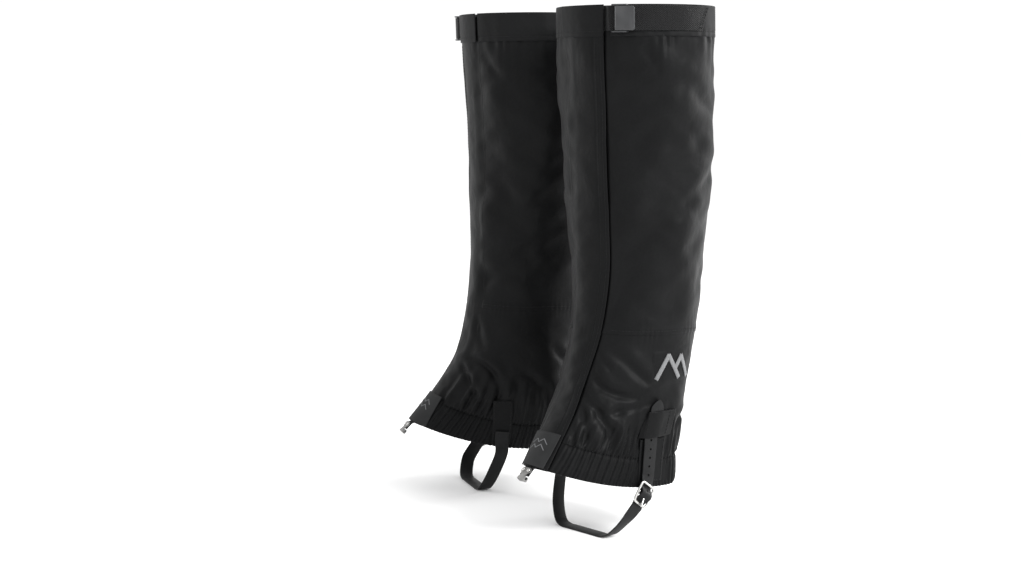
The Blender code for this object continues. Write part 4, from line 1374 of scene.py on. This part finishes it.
def rivet(matrix, centre):
    """A rivet head turned about a frame's Z: a rim, a ring groove and a low dome."""
    profile = ((1.85, 0.0), (1.9, 0.3), (1.7, 0.6), (1.35, 0.68), (1.15, 0.5), (0.95, 0.5),
               (0.75, 0.75), (0.35, 0.9), (0.05, 0.93))
    sides = 32
    points = []
    for radius, rise in profile:
        for k in range(sides):
            a = 2 * math.pi * k / sides
            points.append(in_frame(matrix, centre[0] + radius * math.cos(a),
                                   centre[1] + radius * math.sin(a), centre[2] + rise))
    return points, lofted(len(profile), sides)


def add_lace_hook(leg):
    matrix = hook_frame()
    for tag, side in (("inner", -1), ("outer", 1)):
        points, faces = rivet(matrix, (side * 3.4, 5.0, 2.1))
        head = make_object("rivet_" + tag, leg, points, faces, NICKEL)
        head.data.set_sharp_from_angle(angle=math.radians(50))
        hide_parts(f"hook_rivet_{tag}_{leg.name}")
        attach(head, "gaiters")
    spots = with_edges(np.linspace(-6, 6, 26), 0.2)
    grids = []
    for side in (1, -1):
        lift = side * 0.5
        rows = []
        for level in (0.6, 0.3, 0.0):
            points, _ = skin_line(angle_at(spots, np.full(spots.shape, level)), level, lift - 1.0)
            rows.append(points)
        rows += [np.array([in_frame(matrix, -x, y, lift) for x in spots]) for y in (2, 10)]
        rows = np.array(rows).reshape(5, -1)
        grids.append(between(rows, np.linspace(0, 4, 40)).reshape(40, -1, 3))
    outer, inner = grids
    if rows_face_inwards(outer, inner):
        outer, inner = outer[:, ::-1], inner[:, ::-1]
    uv = np.stack(np.meshgrid(spots, np.linspace(0, 30, 40)), -1)
    tab = make_shell("hook_webbing_tab", leg, outer, inner, WEBBING, uv)
    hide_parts("lace_hook_tab_" + leg.name)
    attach(tab, "gaiters")


def finish_node(node, finish, bevel):
    """Give a CAD node its material and soften its edges."""
    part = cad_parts[node]
    part.data.materials.clear()
    part.data.materials.append(finish)
    weld = part.modifiers.new("weld", "WELD")
    weld.merge_threshold = 0.000002
    soft = part.modifiers.new("bevel", "BEVEL")
    soft.width = bevel * MM
    soft.segments = 3
    soft.limit_method = "ANGLE"
    soft.angle_limit = math.radians(32)
    soft.harden_normals = False
    part.data.shade_smooth()


def add_hardware(leg):
    finish_node("lace_hook_" + leg.name, SATIN, 0.28)
    finish_node("cam_buckle_base_" + leg.name, ACETAL, 0.3)
    finish_node("cam_lever_" + leg.name, ACETAL, 0.55)
    finish_node("cam_pin_" + leg.name, DARK_STEEL, 0.2)


# ---------------------------------------------------------------- stage

def add_stage():
    bpy.ops.mesh.primitive_plane_add(size=40, location=(0, 0, 0))
    floor = bpy.context.object
    floor.name = "floor"
    made, tree, shader = start_material("pale_floor")
    grain = add_node(tree, "TexNoise", {"Scale": 3.0, "Detail": 2.0})
    colour = shades(tree, grain.outputs[0], (0.955, 0.955, 0.955), (0.97, 0.97, 0.97))
    tree.links.new(colour, shader.inputs["Base Color"])
    shader.inputs["Roughness"].default_value = 0.9
    floor.data.materials.append(made)
    world = bpy.data.worlds.new("studio")
    world.use_nodes = True
    world.node_tree.nodes["Background"].inputs["Color"].default_value = (1.0, 1.0, 1.0, 1)
    world.node_tree.nodes["Background"].inputs["Strength"].default_value = 1.05
    bpy.context.scene.world = world


def add_light(name, place, target, size, power):
    """A soft box that looks at a target."""
    data = bpy.data.lights.new(name, "AREA")
    data.shape = "RECTANGLE"
    data.size, data.size_y = size
    data.energy = power
    light = bpy.data.objects.new(name, data)
    light.location = place
    light.rotation_euler = (Vector(target) - Vector(place)).to_track_quat("-Z", "Y").to_euler()
    bpy.context.scene.collection.objects.link(light)


def add_lights():
    middle = (0.0, 0.0, 0.25)
    add_light("key", (2.3, 0.9, 1.7), middle, (1.0, 1.4), 95)
    add_light("fill", (1.0, -2.4, 1.5), middle, (1.4, 1.4), 5)
    add_light("rim_right", (0.1, 2.4, 1.2), middle, (0.6, 1.8), 30)
    add_light("rim_left", (-2.0, -1.6, 1.0), middle, (0.6, 1.8), 12)


def add_camera():
    data = bpy.data.cameras.new("camera")
    data.sensor_fit = "HORIZONTAL"
    data.sensor_width = 36.0
    data.lens = CAMERA_LENS
    data.clip_start, data.clip_end = 0.05, 60
    camera = bpy.data.objects.new("camera", data)
    forward = Vector((-math.sin(CAMERA_AZIMUTH) * math.cos(CAMERA_DOWN),
                      math.cos(CAMERA_AZIMUTH) * math.cos(CAMERA_DOWN), -math.sin(CAMERA_DOWN)))
    right = Vector((math.cos(CAMERA_AZIMUTH), math.sin(CAMERA_AZIMUTH), 0))
    up = right.cross(forward)
    camera.matrix_world = frame_axes(CAMERA_AT, right, up, -forward)
    bpy.context.scene.collection.objects.link(camera)
    bpy.context.scene.camera = camera
    bpy.context.scene.view_settings.view_transform = "Standard"


add_camera()
add_stage()
add_lights()
for leg in LEGS:
    add_sleeve(leg)
    add_flap(leg)
    add_patches(leg)
    add_mark(leg)
    add_label(leg)
    add_webbing(leg)
    add_strap(leg)
    add_buckle(leg)
    add_lace_hook(leg)
    add_hardware(leg)
